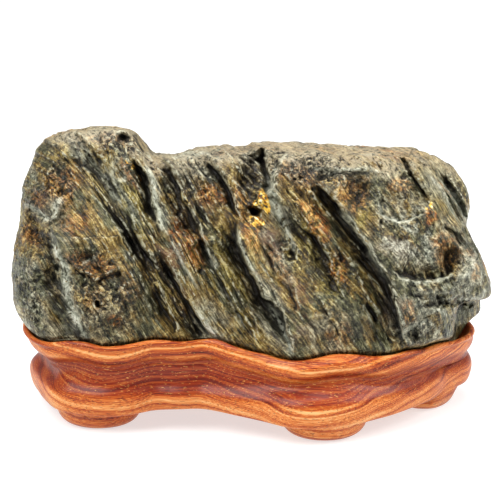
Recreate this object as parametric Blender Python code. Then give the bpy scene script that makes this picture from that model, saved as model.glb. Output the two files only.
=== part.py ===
"""A scholar's rock standing in its carved wooden stand.

The rock is one natural piece: a long block of foliated river stone with a raised knob at its left end,
a flat top, diagonal clefts down its front and a beak at its right end. The stand is one block of
hardwood, carved with a seat that follows the foot of the rock, a rolled moulding and five feet.

Metres, +Z up. The front faces -Y. The origin is on the floor, under the middle of the whole object.
"""

import math

import bpy
import numpy as np

MM = 0.001

# Driving dimensions.
LENGTH_SEEN = 0.2592  # the rock's length as the viewer sees it from the front, measured at the aim below
SQUARES_LONG = 480  # the same length on the sketch below, in squares
SQUARE = LENGTH_SEEN / SQUARES_LONG
ROCK_BOTTOM = 0.0303
KNOB_RELEASE = 0.030  # how much higher the top may go at the knob, where the outline ends it instead
OUTLINE_GROWTH = 2.2  # what rounding the corners takes off the outlines, in squares
SEAT_FLOOR = 0.030
SEAT_GAP = 0.0010  # between the rock's foot and the wall of its seat
SEAT_TAPER = 0.55  # how far the rock's foot and the seat's wall draw in, for each unit below the rim
UNDERSIDE = 0.0095
FOOT_FLARE = 1.6  # how far the rock may spread over its seat, for each unit above the rim
ROCK_TRIANGLES = 6200
STAND_TRIANGLES = 3500
TO_MIDDLE = np.array([0.0009, 0.0018, 0.0])  # from the sketch's middle to the middle of the whole object

# The rock's shapes are laid out on one sketch, drawn from the viewer's place in front of it.
# Across runs right and down runs down, in squares, with SKETCH_MIDDLE in the middle of the sheet.
SKETCH_MIDDLE = 250.0
SKETCH_REACH = (-10.0, 510.0)
VIEWER_DISTANCE = 0.90
VIEWER_RISE = math.radians(15)
AIM = np.array([-0.001, 0.0, 0.089])
TOWARDS_ROCK = np.array([0.0, math.cos(VIEWER_RISE), -math.sin(VIEWER_RISE)])
UP_THE_SKETCH = np.array([0.0, math.sin(VIEWER_RISE), math.cos(VIEWER_RISE)])
VIEWER = AIM - VIEWER_DISTANCE * TOWARDS_ROCK

# Outlines on the sketch, clockwise from the lower left: of the rock's front half, and of its back half.
FRONT_OUTLINE = [
    (28, 336), (17, 315), (12, 280), (13, 247), (19, 218), (21, 190), (26, 171), (33, 152),
    (45, 139), (71, 130), (104, 127), (124, 128), (138, 134), (152, 144), (180, 134), (300, 130),
    (376, 132), (412, 142), (430, 156), (441, 180), (453, 201), (463, 222), (477, 250), (488, 272),
    (492, 285), (489, 297), (472, 301), (458, 306), (454, 320), (450, 338), (440, 356), (405, 366),
    (350, 376), (300, 380), (270, 376), (235, 370), (205, 364), (160, 364), (115, 366), (80, 362),
    (45, 352),
]
BACK_OUTLINE = [
    (40, 336), (26, 310), (22, 270), (28, 215), (36, 178), (54, 150), (85, 135), (120, 134),
    (150, 142), (180, 132), (300, 130), (400, 133), (441, 149), (460, 162), (473, 179), (476, 193),
    (473, 210), (466, 224), (464, 245), (468, 270), (476, 290), (480, 308), (478, 322), (470, 337),
    (440, 356), (350, 376),
    (200, 376), (80, 356),
]

# The rock's foot, seen from above where it meets the rim of its seat, in millimetres, from the left end.
FOOT_PLAN = [
    (-121, 5), (-118, -16), (-108, -33), (-93, -40), (-78, -44), (-64, -43), (-52, -39), (-38, -39),
    (-24, -37), (-8, -43), (8, -47), (24, -52), (40, -50), (58, -46), (74, -41), (92, -28), (107, -12),
    (117, 4), (120, 20), (115, 36), (99, 46), (70, 52), (30, 55), (-20, 55), (-70, 52), (-101, 43),
    (-117, 26),
]

# Heights of the rock's flat top and of the seat's rim along X, and how far the faces of the rock stand
# back as they rise, in millimetres.
TOP_HEIGHTS = (
    [-60, -54, -41, -28, -16, -7, 2, 22, 45, 68, 86, 99, 111, 118, 126],
    [143, 141, 140.5, 143, 145, 144, 146, 145.5, 145, 145.5, 143.5, 141, 136, 130, 118],
)
RIM_HEIGHTS = (
    [-123, -114, -106, -95, -86, -77, -69, -59, -46, -37, -27, -17, -8, 1, 8, 16, 23, 32, 41, 53, 62, 73,
     81, 90, 97, 108, 118, 125],
    [48.6, 48.2, 48.8, 51.0, 51.3, 49.6, 49.9, 51.1, 51.3, 50.5, 51.0, 51.6, 49.1, 47.1, 46.2, 44.6, 44.4,
     45.5, 47.0, 46.2, 44.5, 44.3, 44.9, 43.8, 44.0, 41.8, 40.6, 40.2],
)
FRONT_FACE = (
    [-131, -122, -110, -94, -78, -64, -52, -38, -24, -8, 8, 24, 40, 58, 74, 92, 108, 122, 131],
    [2, -20, -35, -42, -46, -45, -41, -41, -39, -45, -49, -54, -52, -48, -45, -39, -32, -25, -16],
)
FRONT_LEAN = ([30, 45, 70, 100, 125, 145, 160], [2, 0, -1, 8, 18, 29, 38])
BACK_FACE = ([-131, -110, -70, 0, 60, 100, 131], [38, 50, 56, 58, 57, 52, 40])
BACK_LEAN = ([30, 60, 95, 125, 145, 160], [0, 0, 5, 14, 22, 30])

# Where the limits of the rock meet, their corners are rounded over these reaches, in metres.
FACE_ROUND = 0.030
OUTLINE_ROUND = 0.016
TOP_ROUND = 0.012
FOOT_ROUND = 0.003
BOTTOM_ROUND = 0.002
BACK_STARTS = 0.004  # along Y, the front outline starts to give way to the back one here
BACK_BLEND = 0.030
KNOB_ENDS = -0.052  # along X
KNOB_BLEND = 0.016


def smooth_max(a, b, reach):
    """The larger of a and b, rounded off where they come within reach of each other."""
    share = np.clip(0.5 + 0.5 * (a - b) / reach, 0.0, 1.0)
    return b + (a - b) * share + reach * share * (1.0 - share)


def ease(t):
    """0 below 0, 1 above 1, and a smooth rise between."""
    t = np.clip(t, 0.0, 1.0)
    return t * t * (3.0 - 2.0 * t)


def smooth_curve(at, table):
    """The value at each place on the smooth curve through a table of places and values."""
    places, values = (np.array(row, float) for row in table)
    slopes = np.gradient(values, places)
    i = np.clip(np.searchsorted(places, at) - 1, 0, len(places) - 2)
    span = places[i + 1] - places[i]
    t = np.clip((at - places[i]) / span, 0.0, 1.0)
    low = (1 + 2 * t) * values[i] + t * span * slopes[i]
    high = (3 - 2 * t) * values[i + 1] - (1 - t) * span * slopes[i + 1]
    return (1 - t) ** 2 * low + t**2 * high


def closed_curve(corners, steps):
    """Points along the smooth closed curve (Catmull-Rom) through the corners, steps to a side."""
    b = np.array(corners, float)[:, None]
    a, c, d = np.roll(b, 1, 0), np.roll(b, -1, 0), np.roll(b, -2, 0)
    t = (np.arange(steps) / steps)[None, :, None]
    curve = 0.5 * (2 * b + (c - a) * t + (2 * a - 5 * b + 4 * c - d) * t**2 + (3 * b - a - 3 * c + d) * t**3)
    return curve.reshape(-1, 2)


def nearest_on_path(u, v, path):
    """(distance, side, share) of each point to a path. Side is +1 to the right of the way it runs, with
    v pointing down, and share runs from 0 at its start to 1 at its end."""
    path = np.array(path, float)
    lengths = np.hypot(*np.diff(path, axis=0).T)
    reached = np.concatenate([[0.0], np.cumsum(lengths)])
    best = np.full(u.shape, 1e9)
    side = np.zeros(u.shape)
    share = np.zeros(u.shape)
    for (start_u, start_v), (end_u, end_v), length, before in zip(path, path[1:], lengths, reached):
        way_u, way_v = (end_u - start_u) / length, (end_v - start_v) / length
        along = np.clip((u - start_u) * way_u + (v - start_v) * way_v, 0.0, length)
        off_u, off_v = u - start_u - along * way_u, v - start_v - along * way_v
        gap = np.hypot(off_u, off_v)
        nearer = gap < best
        best = np.where(nearer, gap, best)
        side = np.where(nearer, np.sign(way_u * off_v - way_v * off_u), side)
        share = np.where(nearer, (before + along) / reached[-1], share)
    return best, side, share


def depth_inside(outline, reach, step):
    """A sheet of numbers, one every step from reach[0] to reach[1] both ways: how far each point lies
    inside the closed curve through the outline's corners, and negative outside it."""
    line = np.arange(reach[0], reach[1] + step, step)
    u, v = np.meshgrid(line, line)
    curve = closed_curve(outline, 4)
    curve = np.vstack([curve, curve[:1]])
    gap, _, _ = nearest_on_path(u, v, curve)
    crossings = np.zeros(u.shape, int)
    for (start_u, start_v), (end_u, end_v) in zip(curve, curve[1:]):
        if start_v == end_v:
            continue
        spans = (v >= min(start_v, end_v)) & (v < max(start_v, end_v))
        crossings += spans & (u < start_u + (v - start_v) / (end_v - start_v) * (end_u - start_u))
    return np.where(crossings % 2 == 1, gap, -gap), reach[0], step


def read_sheet(sheet, u, v):
    """The value of a sheet of numbers at each point, blended between its four nearest numbers."""
    numbers, start, step = sheet
    last = numbers.shape[0] - 1.001
    u = np.clip((u - start) / step, 0.0, last)
    v = np.clip((v - start) / step, 0.0, last)
    i, j = u.astype(int), v.astype(int)
    fu, fv = u - i, v - j
    top = numbers[j, i] * (1 - fu) + numbers[j, i + 1] * fu
    low = numbers[j + 1, i] * (1 - fu) + numbers[j + 1, i + 1] * fu
    return top * (1 - fv) + low * fv


FRONT_SHEET = depth_inside(FRONT_OUTLINE, SKETCH_REACH, 2.0)
BACK_SHEET = depth_inside(BACK_OUTLINE, SKETCH_REACH, 2.0)
FOOT_SHEET = depth_inside(FOOT_PLAN, (-150.0, 150.0), 1.5)


def on_sketch(points):
    """Where the viewer sees each point on the sketch, (across, down) in squares, and how far off it is."""
    seen = points - VIEWER
    far = seen @ TOWARDS_ROCK
    scale = VIEWER_DISTANCE / SQUARE / far
    return SKETCH_MIDDLE + seen[..., 0] * scale, SKETCH_MIDDLE - (seen @ UP_THE_SKETCH) * scale, far


def rim_height(x):
    return MM * smooth_curve(x / MM, RIM_HEIGHTS)


def past_surface(points):
    """How far each point lies outside the rock's plain form, in metres, and negative inside it. The form is
    what its outlines, its two faces, its top, its foot and its bottom leave, with the corners rounded."""
    x, y, z = points[..., 0], points[..., 1], points[..., 2]
    across, down, far = on_sketch(points)
    backward = ease((y - BACK_STARTS) / BACK_BLEND)
    inside = read_sheet(FRONT_SHEET, across, down) * (1 - backward)
    inside += read_sheet(BACK_SHEET, across, down) * backward
    past_outline = -(inside + OUTLINE_GROWTH) * SQUARE * far / VIEWER_DISTANCE
    front = MM * (smooth_curve(x / MM, FRONT_FACE) + smooth_curve(z / MM, FRONT_LEAN))
    back = MM * (smooth_curve(x / MM, BACK_FACE) - smooth_curve(z / MM, BACK_LEAN))
    knob = ease((KNOB_ENDS - x) / KNOB_BLEND)
    top = MM * smooth_curve(x / MM, TOP_HEIGHTS) + KNOB_RELEASE * knob
    past = smooth_max(front - y, y - back, FACE_ROUND)
    past = smooth_max(past, z - top, TOP_ROUND)
    past = smooth_max(past, past_outline, OUTLINE_ROUND)
    above_rim = z - rim_height(x)
    draw_in = np.where(above_rim > 0, -FOOT_FLARE * above_rim, -SEAT_TAPER * above_rim)
    past = smooth_max(past, draw_in - MM * read_sheet(FOOT_SHEET, x / MM, y / MM), FOOT_ROUND)
    return smooth_max(past, ROCK_BOTTOM - z, BOTTOM_ROUND)


# Relief on the rock's front, as strokes on the sketch. Widths are in squares, depths in millimetres.
# In a cleft the surface sinks towards its path over a slope, and rises again at a wall. For a path that runs
# down the sketch the slope is on its left and the wall on its right: (path, slope, wall, depth).
CLEFTS = [
    ([(76, 138), (86, 150), (96, 165), (108, 188), (122, 216), (138, 246), (152, 272)], 10, 6.0, 6.5),
    ([(91, 146), (101, 165), (112, 186), (122, 204)], 3.5, 1.6, 3.0),
    ([(60, 146), (76, 162), (92, 186), (106, 206), (116, 226)], 5, 2.0, 2.4),
    ([(50, 226), (50, 242), (56, 258), (63, 276), (68, 298)], 10, 4.5, 7.0),
    ([(42, 256), (52, 278), (60, 298), (65, 313), (73, 328), (88, 346)], 17, 5.0, 9.0),
    ([(24, 205), (40, 213), (52, 224)], 4, 8.0, 5.0),
    ([(131, 156), (136, 165), (143, 178), (147, 190), (148, 206), (156, 226)], 5.5, 2.4, 12.0),
    ([(102, 199), (115, 217), (128, 237), (144, 260), (153, 279), (160, 299), (172, 323)], 7, 2.2, 4.0),
    ([(122, 228), (134, 242), (144, 254), (152, 264), (159, 276)], 10, 3.0, 7.0),
    ([(155, 248), (169, 274), (180, 297), (191, 314), (203, 328), (218, 348)], 11, 3.2, 12.0),
    ([(150, 280), (161, 303), (168, 314), (173, 324), (178, 340)], 6, 2.0, 5.0),
    ([(163, 158), (173, 182), (181, 203), (191, 221), (203, 242)], 16, 4.5, 10.0),
    ([(180, 168), (190, 190), (200, 210), (210, 228)], 5, 2.0, 3.5),
    ([(205, 156), (216, 175), (225, 188), (231, 202), (240, 221)], 5, 1.8, 8.0),
    ([(199, 236), (206, 254), (215, 272)], 4.5, 2.0, 7.0),
    ([(212, 264), (224, 288), (236, 310), (250, 334), (260, 352)], 7, 2.4, 4.5),
    ([(234, 214), (237, 240), (241, 258), (250, 279), (259, 297), (269, 305), (279, 315), (285, 332),
      (293, 358)], 15, 3.0, 11.0),
    ([(262, 142), (263, 160), (266, 172), (268, 183), (266, 200)], 7, 2.2, 15.0),
    ([(282, 204), (291, 221), (300, 230), (314, 238), (322, 256), (332, 280), (344, 304)], 16, 4.0, 8.0),
    ([(254, 236), (268, 256), (282, 280), (296, 304), (304, 324)], 5, 2.0, 3.2),
    ([(308, 182), (325, 197), (339, 213), (351, 231), (362, 249), (374, 270)], 12, 3.0, 11.0),
    ([(358, 240), (371, 260), (380, 272), (387, 286), (391, 300), (393, 313), (399, 328), (408, 350)],
     19, 3.4, 14.0),
    ([(396, 146), (405, 163), (413, 178), (422, 195), (432, 210)], 5.5, 2.0, 9.0),
    ([(458, 266), (441, 276), (422, 278), (401, 275), (390, 267)], 10, 2.4, 7.5),
    ([(437, 222), (455, 235), (468, 250)], 3.5, 1.8, 4.0),
    ([(434, 172), (446, 188), (458, 204), (468, 222), (478, 244), (487, 270)], 5, 2.0, 5.0),
    ([(438, 170), (455, 199), (471, 228)], 8, 3.0, 11.0),
    ([(366, 302), (372, 312), (379, 322)], 3, 1.8, 4.5),
    ([(478, 300), (458, 304), (440, 304), (420, 307)], 7, 2.4, 8.0),
]
# A ledge drops away on the sketch's right of a path that runs down, or on its left where the reach is
# negative, and where the drop is negative that side stands proud: (path, reach, drop, half its edge).
LEDGES = [
    ([(53, 220), (49, 238), (55, 260), (67, 288), (79, 314), (92, 342)], 34.0, -8.0, 4.0),
    ([(54, 224), (40, 212), (24, 202)], -26.0, -5.5, 4.0),
    ([(149, 164), (151, 195), (157, 220), (172, 248)], 26.0, -4.5, 2.5),
    ([(62, 248), (75, 268), (96, 282), (110, 274), (126, 270)], -18.0, 5.5, 2.0),
    ([(208, 154), (226, 184), (242, 218)], 22.0, -3.5, 2.0),
    ([(236, 220), (240, 246), (249, 270), (258, 288), (268, 300), (280, 313), (287, 330), (295, 358)],
     34.0, -8.0, 2.5),
    ([(283, 150), (274, 181), (265, 198)], 26.0, -7.0, 3.0),
    ([(318, 186), (338, 206), (352, 224), (366, 246), (380, 268), (390, 288), (394, 306), (402, 328),
      (411, 350)], 32.0, -7.0, 2.5),
    ([(372, 170), (345, 173), (321, 171)], -18.0, -5.0, 2.5),
    ([(383, 189), (380, 215), (397, 224), (413, 219), (429, 211)], 18.0, 3.6, 1.5),
    ([(160, 246), (176, 276), (190, 302), (208, 332)], 16.0, -4.0, 2.0),
    ([(442, 252), (446, 272), (462, 276), (470, 262)], -12.0, -5.0, 2.0),
    ([(170, 152), (214, 152), (258, 148)], -14.0, -2.0, 2.0),
    ([(446, 176), (462, 200), (476, 230), (487, 262)], 14.0, -4.5, 1.5),
    ([(432, 176), (446, 196), (458, 214), (470, 236)], 12.0, -4.0, 1.5),
    ([(404, 296), (424, 300), (452, 298)], 12.0, 3.0, 1.5),
]
# A hollow is a dished oval: (middle, half sizes, turn in degrees, depth).
HOLLOWS = [
    ((34, 226), (13, 19), 10, 6.0),
    ((58, 182), (13, 18), 20, 2.6),
    ((55, 268), (3.5, 5.5), 10, 4.0),
    ((92, 264), (22, 12), 20, 4.0),
    ((22, 291), (6, 7), 0, 2.0),
    ((36, 308), (6, 6), 0, 2.0),
    ((98, 305), (4, 5), 0, 3.0),
    ((250, 178), (12, 27), 0, 9.0),
    ((255, 211), (5, 7), -40, 6.0),
    ((318, 172), (22, 13), 10, 3.5),
    ((357, 192), (17, 18), 10, 5.5),
    ((290, 256), (6, 7), 0, 3.5),
    ((450, 259), (14, 16), -20, 11.0),
    ((411, 333), (10, 9), 0, 7.0),
    ((216, 241), (11, 8), 20, -4.5),
    ((340, 268), (9, 12), -20, 3.5),
    ((124, 140), (9, 6), 40, 3.5),
    ((280, 152), (5, 3), 0, 5.0),
    ((430, 158), (9, 3), 18, 5.0),
    ((432, 290), (30, 7), -3, -3.0),
    ((396, 246), (20, 22), 0, -2.0),
]
# The same for the back, as a viewer behind the rock would draw it, who sees the knob on the right.
BACK_CLEFTS = [
    ([(398, 144), (382, 180), (364, 214), (352, 252), (334, 290)], 6.0, 16, 9.0),
    ([(332, 144), (316, 186), (298, 226), (282, 262), (264, 300), (256, 340)], 4.0, 20, 13.0),
    ([(264, 144), (250, 184), (236, 218)], 3.0, 13, 8.0),
    ([(240, 220), (214, 266), (198, 300), (182, 346)], 4.0, 18, 11.0),
    ([(184, 148), (160, 204), (142, 240), (122, 294)], 4.0, 15, 8.0),
    ([(434, 200), (414, 250), (396, 300), (388, 334)], 4.0, 16, 8.0),
    ([(112, 206), (96, 252), (80, 304)], 3.0, 12, 6.0),
    ([(300, 250), (288, 290), (280, 330)], 2.0, 6, 4.0),
    ([(230, 150), (206, 200), (190, 232)], 2.0, 7, 4.0),
]
BACK_LEDGES = [
    ([(356, 150), (342, 186), (322, 226), (306, 262), (290, 310), (282, 344)], -30.0, 7.0, 3.0),
    ([(204, 150), (190, 190), (170, 230), (150, 276), (140, 330)], -30.0, 7.0, 3.0),
    ([(444, 170), (430, 214), (412, 256), (398, 300)], 26.0, 6.0, 3.0),
    ([(96, 172), (150, 180), (190, 174)], 20.0, 5.0, 3.0),
    ([(60, 250), (100, 268), (150, 262), (176, 240)], 26.0, 5.0, 4.0),
    ([(240, 306), (300, 316), (350, 300)], 22.0, 4.0, 3.0),
]
BACK_HOLLOWS = [
    ((398, 232), (14, 24), 25, 6.0),
    ((240, 200), (12, 22), 25, 5.0),
    ((118, 300), (20, 15), 0, 6.0),
    ((330, 322), (14, 12), 0, 4.0),
    ((64, 220), (12, 22), 10, 5.0),
    ((420, 180), (20, 14), 0, -3.0),
]
STROKE_TAPER = 0.25  # a cleft starts and ends over this share of its path,
STROKE_TIP = 0.3  # and there it is this much as wide
LEDGE_TAPER = 0.15  # a ledge starts and ends over this share of its path
STROKE_WOBBLE = 1.8  # how far noise bends the strokes to and fro, in squares
WOBBLE_SIZE = 0.0055  # and over what length
STROKE_STEP = 1.0  # the relief is worked out once in every square
EDGE_ON = 0.08  # a stroke fades out where the surface turns edge-on to the viewer,
FACING = 0.43  # and has its full depth where it faces the viewer more than this
WORN_EDGE_ON = 0.10  # the leaves are worn down where the surface turns edge-on to the viewer,
WORN_FACING = 0.55  # and stand fully where it faces the viewer, or away from them, more than this
WORN_SHARE = 0.65  # the share of the leaves' height that is worn down there

# The rock's grain. Its leaves dip to the right, and run on from the front over the top to the back.
GRAIN_DIP = math.radians(62)
GRAIN_TURN = math.radians(24)
GRAIN_ACROSS = np.array([
    math.sin(GRAIN_DIP) * math.cos(GRAIN_TURN),
    math.sin(GRAIN_DIP) * math.sin(GRAIN_TURN),
    math.cos(GRAIN_DIP),
])


def window(sheet_line, places, margin):
    """The slice of a line of sketch places that lies within a margin of the given ones."""
    low, high = np.searchsorted(sheet_line, [min(places) - margin, max(places) + margin])
    return slice(low, high)


def draw_strokes(clefts, ledges, hollows, step):
    """The sheet of relief: how far each place on the sketch is pushed away from the viewer, in metres."""
    line = np.arange(SKETCH_REACH[0], SKETCH_REACH[1] + step, step)
    relief = np.zeros((len(line), len(line)))

    def patch_around(path, margin):
        columns = window(line, [u for u, _ in path], margin)
        rows = window(line, [v for _, v in path], margin)
        return (rows, columns), *np.meshgrid(line[columns], line[rows])

    for path, slope, wall, depth in clefts:
        patch, u, v = patch_around(path, 4 * max(slope, wall))
        gap, side, share = nearest_on_path(u, v, path)
        taper = ease(share / STROKE_TAPER) * ease((1 - share) / STROKE_TAPER)
        narrow = STROKE_TIP + (1 - STROKE_TIP) * taper
        sloping = 1 / (1 + (gap / (slope * narrow)) ** 2)
        rising = 1 / (1 + (gap / (wall * narrow)) ** 4)
        relief[patch] += depth * taper * np.where(side > 0, sloping, rising)
    for path, reach, drop, edge in ledges:
        patch, u, v = patch_around(path, 3 * abs(reach))
        gap, side, share = nearest_on_path(u, v, path)
        taper = ease(share / LEDGE_TAPER) * ease((1 - share) / LEDGE_TAPER)
        off = gap * side * np.sign(reach)
        relief[patch] += drop * taper * np.exp(-gap / abs(reach)) * ease(0.5 - 0.5 * off / edge)
    for (middle_u, middle_v), (half_u, half_v), turn, depth in hollows:
        patch, u, v = patch_around([(middle_u, middle_v)], 1.3 * max(half_u, half_v))
        cos, sin = math.cos(math.radians(turn)), math.sin(math.radians(turn))
        along = ((u - middle_u) * cos + (v - middle_v) * sin) / half_u
        aside = ((v - middle_v) * cos - (u - middle_u) * sin) / half_v
        relief[patch] += depth * ease(1.25 - np.hypot(along, aside))
    return relief * MM, line[0], step


def lattice_noise(points, seed):
    """Smooth noise between -1 and 1: each whole-numbered corner gets a value of its own, blended between."""
    corner = np.floor(points).astype(np.int64)
    part = points - corner
    blend = part * part * (3 - 2 * part)
    total = np.zeros(points.shape[:-1])
    for step in np.ndindex(2, 2, 2):
        x, y, z = (corner[..., k] + step[k] for k in range(3))
        number = (x * 374761393 + y * 668265263 + z * 2147483647 + seed * 1274126177) & 0xFFFFFFFF
        number = ((number ^ (number >> 13)) * 1103515245 + 12345) & 0xFFFFFFFF
        value = ((number ^ (number >> 16)) & 0xFFFF) / 32767.5 - 1.0
        weight = np.ones(points.shape[:-1])
        for k in range(3):
            weight = weight * (blend[..., k] if step[k] else 1 - blend[..., k])
        total += weight * value
    return total


def leaves(grain, thickness, seed):
    """The rock's leaves end in steps like shingles: across the grain each one starts proud and sinks to
    where the next one starts. Noise bends their edges and makes some bolder than others."""
    phase = grain[..., 0] / thickness + 0.9 * lattice_noise(grain / np.array([0.030, 0.065, 0.065]), seed)
    part = phase - np.floor(phase)
    boldness = 0.55 + 0.45 * lattice_noise(grain / np.array([0.012, 0.045, 0.045]), seed + 1)
    return boldness * ((1 - part) * ease(part / 0.15) - 0.45)


def grain_places(points):
    """Each point in the grain's own directions: across the leaves, down them, and along their strike."""
    bend = 0.010 * lattice_noise(points / 0.070, 3)
    down = np.array([math.cos(GRAIN_DIP), 0.0, -math.sin(GRAIN_DIP)])
    strike = np.cross(GRAIN_ACROSS, down)
    return np.stack([points @ GRAIN_ACROSS + bend, points @ down, points @ strike], axis=-1)


def rock_swell(points, worn):
    """How far the rock stands out of its plain form, in metres: broad lumps, and leaves that end in steps and
    are worn down where the rock is rounded off."""
    grain = grain_places(points)
    lumps = 1.7 * lattice_noise(points / 0.034, 11) + 0.9 * lattice_noise(points / 0.015, 12)
    steps = 2.6 * leaves(grain, 0.019, 13) + 1.4 * leaves(grain, 0.0075, 15)
    return MM * (lumps + steps * (1 - WORN_SHARE * worn) - 0.3)


def box_skin(across, deep, high):
    """(corners, quads) of the skin of a box of across x deep x high cells, with corners as whole numbers."""
    index = np.full((across + 1, deep + 1, high + 1), -1)
    skin = np.ones(index.shape, bool)
    skin[1:-1, 1:-1, 1:-1] = False
    corners = np.argwhere(skin)
    index[skin] = np.arange(len(corners))
    quads = []
    for axis, end, turned in [(0, 0, 0), (0, -1, 1), (1, 0, 1), (1, -1, 0), (2, 0, 0), (2, -1, 1)]:
        side = np.take(index, end, axis=axis)
        ring = [side[:-1, :-1], side[:-1, 1:], side[1:, 1:], side[1:, :-1]]
        quads.append(np.stack(ring[::-1] if turned else ring, axis=-1).reshape(-1, 4))
    return corners, np.concatenate(quads)


HALF_TURN = np.array([-1.0, -1.0, 1.0])  # what a viewer behind the rock sees, as if it were turned about Z
SPINE_END = 0.082  # the rays that find the surface start on a spine along X, this long each way
SPINE_MIDDLE = np.array([0.002, 0.004, 0.088])
BOX_HALF = np.array([0.150, 0.062, 0.066])
BOX_CELLS = (130, 46, 64)
PAST_ANY = 2.2  # times its own length, every ray ends outside the rock
HALVINGS = 20
NUDGE = 0.0004
LOWEST_SWELL = 0.001  # the rock swells from this height above its seat's rim,
FULL_SWELL = 0.012  # fully after this much more,
LOWEST_CUT = -0.008  # and is cut into from here
FULL_CUT = 0.010


def rock_surface():
    """(points, quads) of the rock: rays go out from a spine through the corners of a box that leans with
    the grain, stop at the plain form, and the relief then moves each point where they stopped."""
    corners, quads = box_skin(*BOX_CELLS)
    box = (2 * corners / np.array(BOX_CELLS) - 1) * BOX_HALF
    start = np.zeros(box.shape)
    start[:, 0] = np.clip(box[:, 0], -SPINE_END, SPINE_END)
    way = box - start
    way[:, 0] -= way[:, 2] / math.tan(GRAIN_DIP)
    start += SPINE_MIDDLE
    near, beyond = np.zeros(len(box)), np.full(len(box), PAST_ANY)
    for _ in range(HALVINGS):
        middle = (near + beyond) / 2
        outside = past_surface(start + way * middle[:, None]) > 0
        beyond = np.where(outside, middle, beyond)
        near = np.where(outside, near, middle)
    points = start + way * near[:, None]
    slope = np.stack([past_surface(points + NUDGE * axis) for axis in np.eye(3)], axis=-1)
    slope -= past_surface(points)[:, None]
    outward = slope / np.linalg.norm(slope, axis=1)[:, None]
    above_rim = points[:, 2] - rim_height(points[:, 0])
    clear_of_seat = ease((above_rim - LOWEST_SWELL) / FULL_SWELL)
    sight = (points - VIEWER) / np.linalg.norm(points - VIEWER, axis=1)[:, None]
    turned = np.abs((outward * sight).sum(axis=1))
    worn = 1 - ease((turned - WORN_EDGE_ON) / (WORN_FACING - WORN_EDGE_ON))
    aside = STROKE_WOBBLE * lattice_noise(points / WOBBLE_SIZE, 21)
    lower = STROKE_WOBBLE * lattice_noise(points / WOBBLE_SIZE, 23)
    points = points + outward * (rock_swell(points, worn) * clear_of_seat)[:, None]
    front = draw_strokes(CLEFTS, LEDGES, HOLLOWS, STROKE_STEP)
    back = draw_strokes(BACK_CLEFTS, BACK_LEDGES, BACK_HOLLOWS, STROKE_STEP)
    for sheet, turn in ((front, np.ones(3)), (back, HALF_TURN)):
        sight = points * turn - VIEWER
        sight /= np.linalg.norm(sight, axis=1)[:, None]
        facing = ease((-(outward * turn * sight).sum(axis=1) - EDGE_ON) / (FACING - EDGE_ON))
        across, down, _ = on_sketch(points * turn)
        push = read_sheet(sheet, across + aside, down + lower) * facing
        push *= np.where(push > 0, ease((above_rim - LOWEST_CUT) / FULL_CUT), clear_of_seat)
        points = points + sight * turn * push[:, None]
    return points, quads


def new_object(name, points, faces, material):
    mesh = bpy.data.meshes.new(name)
    mesh.from_pydata((points + TO_MIDDLE).tolist(), [], [list(face) for face in faces])
    mesh.materials.append(material)
    mesh.shade_smooth()
    thing = bpy.data.objects.new(name, mesh)
    bpy.context.collection.objects.link(thing)
    return thing


def thin_to(thing, triangles):
    """Keeps about this many triangles, most of them where the surface turns sharply."""
    thing.data.calc_loop_triangles()
    thin = thing.modifiers.new("thin", "DECIMATE")
    thin.ratio = triangles / len(thing.data.loop_triangles)
    return thin


def new_material(name, colour, roughness):
    material = bpy.data.materials.new(name)
    material.use_nodes = True
    shader = material.node_tree.nodes["Principled BSDF"]
    shader.inputs["Base Color"].default_value = (*colour, 1)
    shader.inputs["Roughness"].default_value = roughness
    shader.inputs["Metallic"].default_value = 0
    return material


# The stand's profile, from the inner edge of its rim down its outside to where it turns under.
# Offsets are outward from the rock's foot, in millimetres. Heights are down from the rim in RIM_PART,
# and up from the floor in BASE_PART. A carver's swell pushes the moulding out over the front foot.
RIM_PART = [
    (0.7, -1.0), (1.4, -0.3), (2.3, 0.0), (3.4, -0.3), (4.4, -1.6), (5.2, -3.6), (5.4, -5.6),
    (4.9, -7.8), (3.9, -9.8), (2.9, -11.3), (2.4, -12.4), (2.3, -13.4), (2.6, -14.4),
]
BASE_PART = [
    (5.6, 26.0), (7.6, 23.5), (8.5, 21.0), (8.6, 18.0), (7.9, 14.8), (5.8, 12.0), (2.4, 10.4),
    (-1.0, 9.8), (-4.5, 9.5),
]
SWELL = (
    [-125, -100, -78, -60, -40, -24, -10, 12, 32, 50, 72, 100, 125],
    [-5, -5, -4, -4.5, -3.5, -1, -1, 2, 6, 4, -4, -8, -4],
)
ARCH = (-0.030, 0.050, 0.0030)  # the base rises in an arch: its middle and half length along X, and its rise,
ARCH_TOP = (0.025, 0.012)  # which rows lower than this height follow, fully after this much less
END_NECK = 5.5  # how much deeper the neck is cut at the left end
END_BASE = 5.5  # how much the moulding draws in at both ends
# Feet, in millimetres: (middle along X, middle along Y, half length, half depth, turn in degrees).
FEET = [
    (-82, -23, 23, 19, -4), (38, -40, 23, 20, 0), (94, 7, 19, 20, 35),
    (-84, 34, 23, 18, 4), (52, 37, 23, 18, -3),
]
FOOT_FLAT = 0.58  # the share of a foot's half size that is flat on the floor
RIM_CARRIED = 0.35  # the rim's outside follows this share of the moulding's swell,
RIM_TURN = (1.0, 3.0)  # from this far below its top, over this much height, in millimetres
NECK_DROP = 0.0165  # from the rim down to the middle of the neck, and how high the neck is
NECK_SIZE = 0.006
LEFT_END = (-0.062, 0.060)  # along X, where the left end's neck starts, and over what length it deepens
BOTH_ENDS = (0.095, 0.022)  # the same for the ends' drawing in
UNDER_STARTS = (0.016, 0.006)  # rows lower than this height bend to the underside, over this much height
BRIDGE_SHARES = (0.33, 0.67)  # rows between the rim's part and the base's, as shares of the way down
STAND_STEPS = 200
SEAT_ROWS = 8
STAND_SPINE = (-0.066, 0.070, 0.004)  # the seat's floor and the underside close on this line along X


def arch_rise(x):
    """How much the base rises between its front feet."""
    return ARCH[2] * ease(1 - np.abs(x - ARCH[0]) / ARCH[1])


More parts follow.
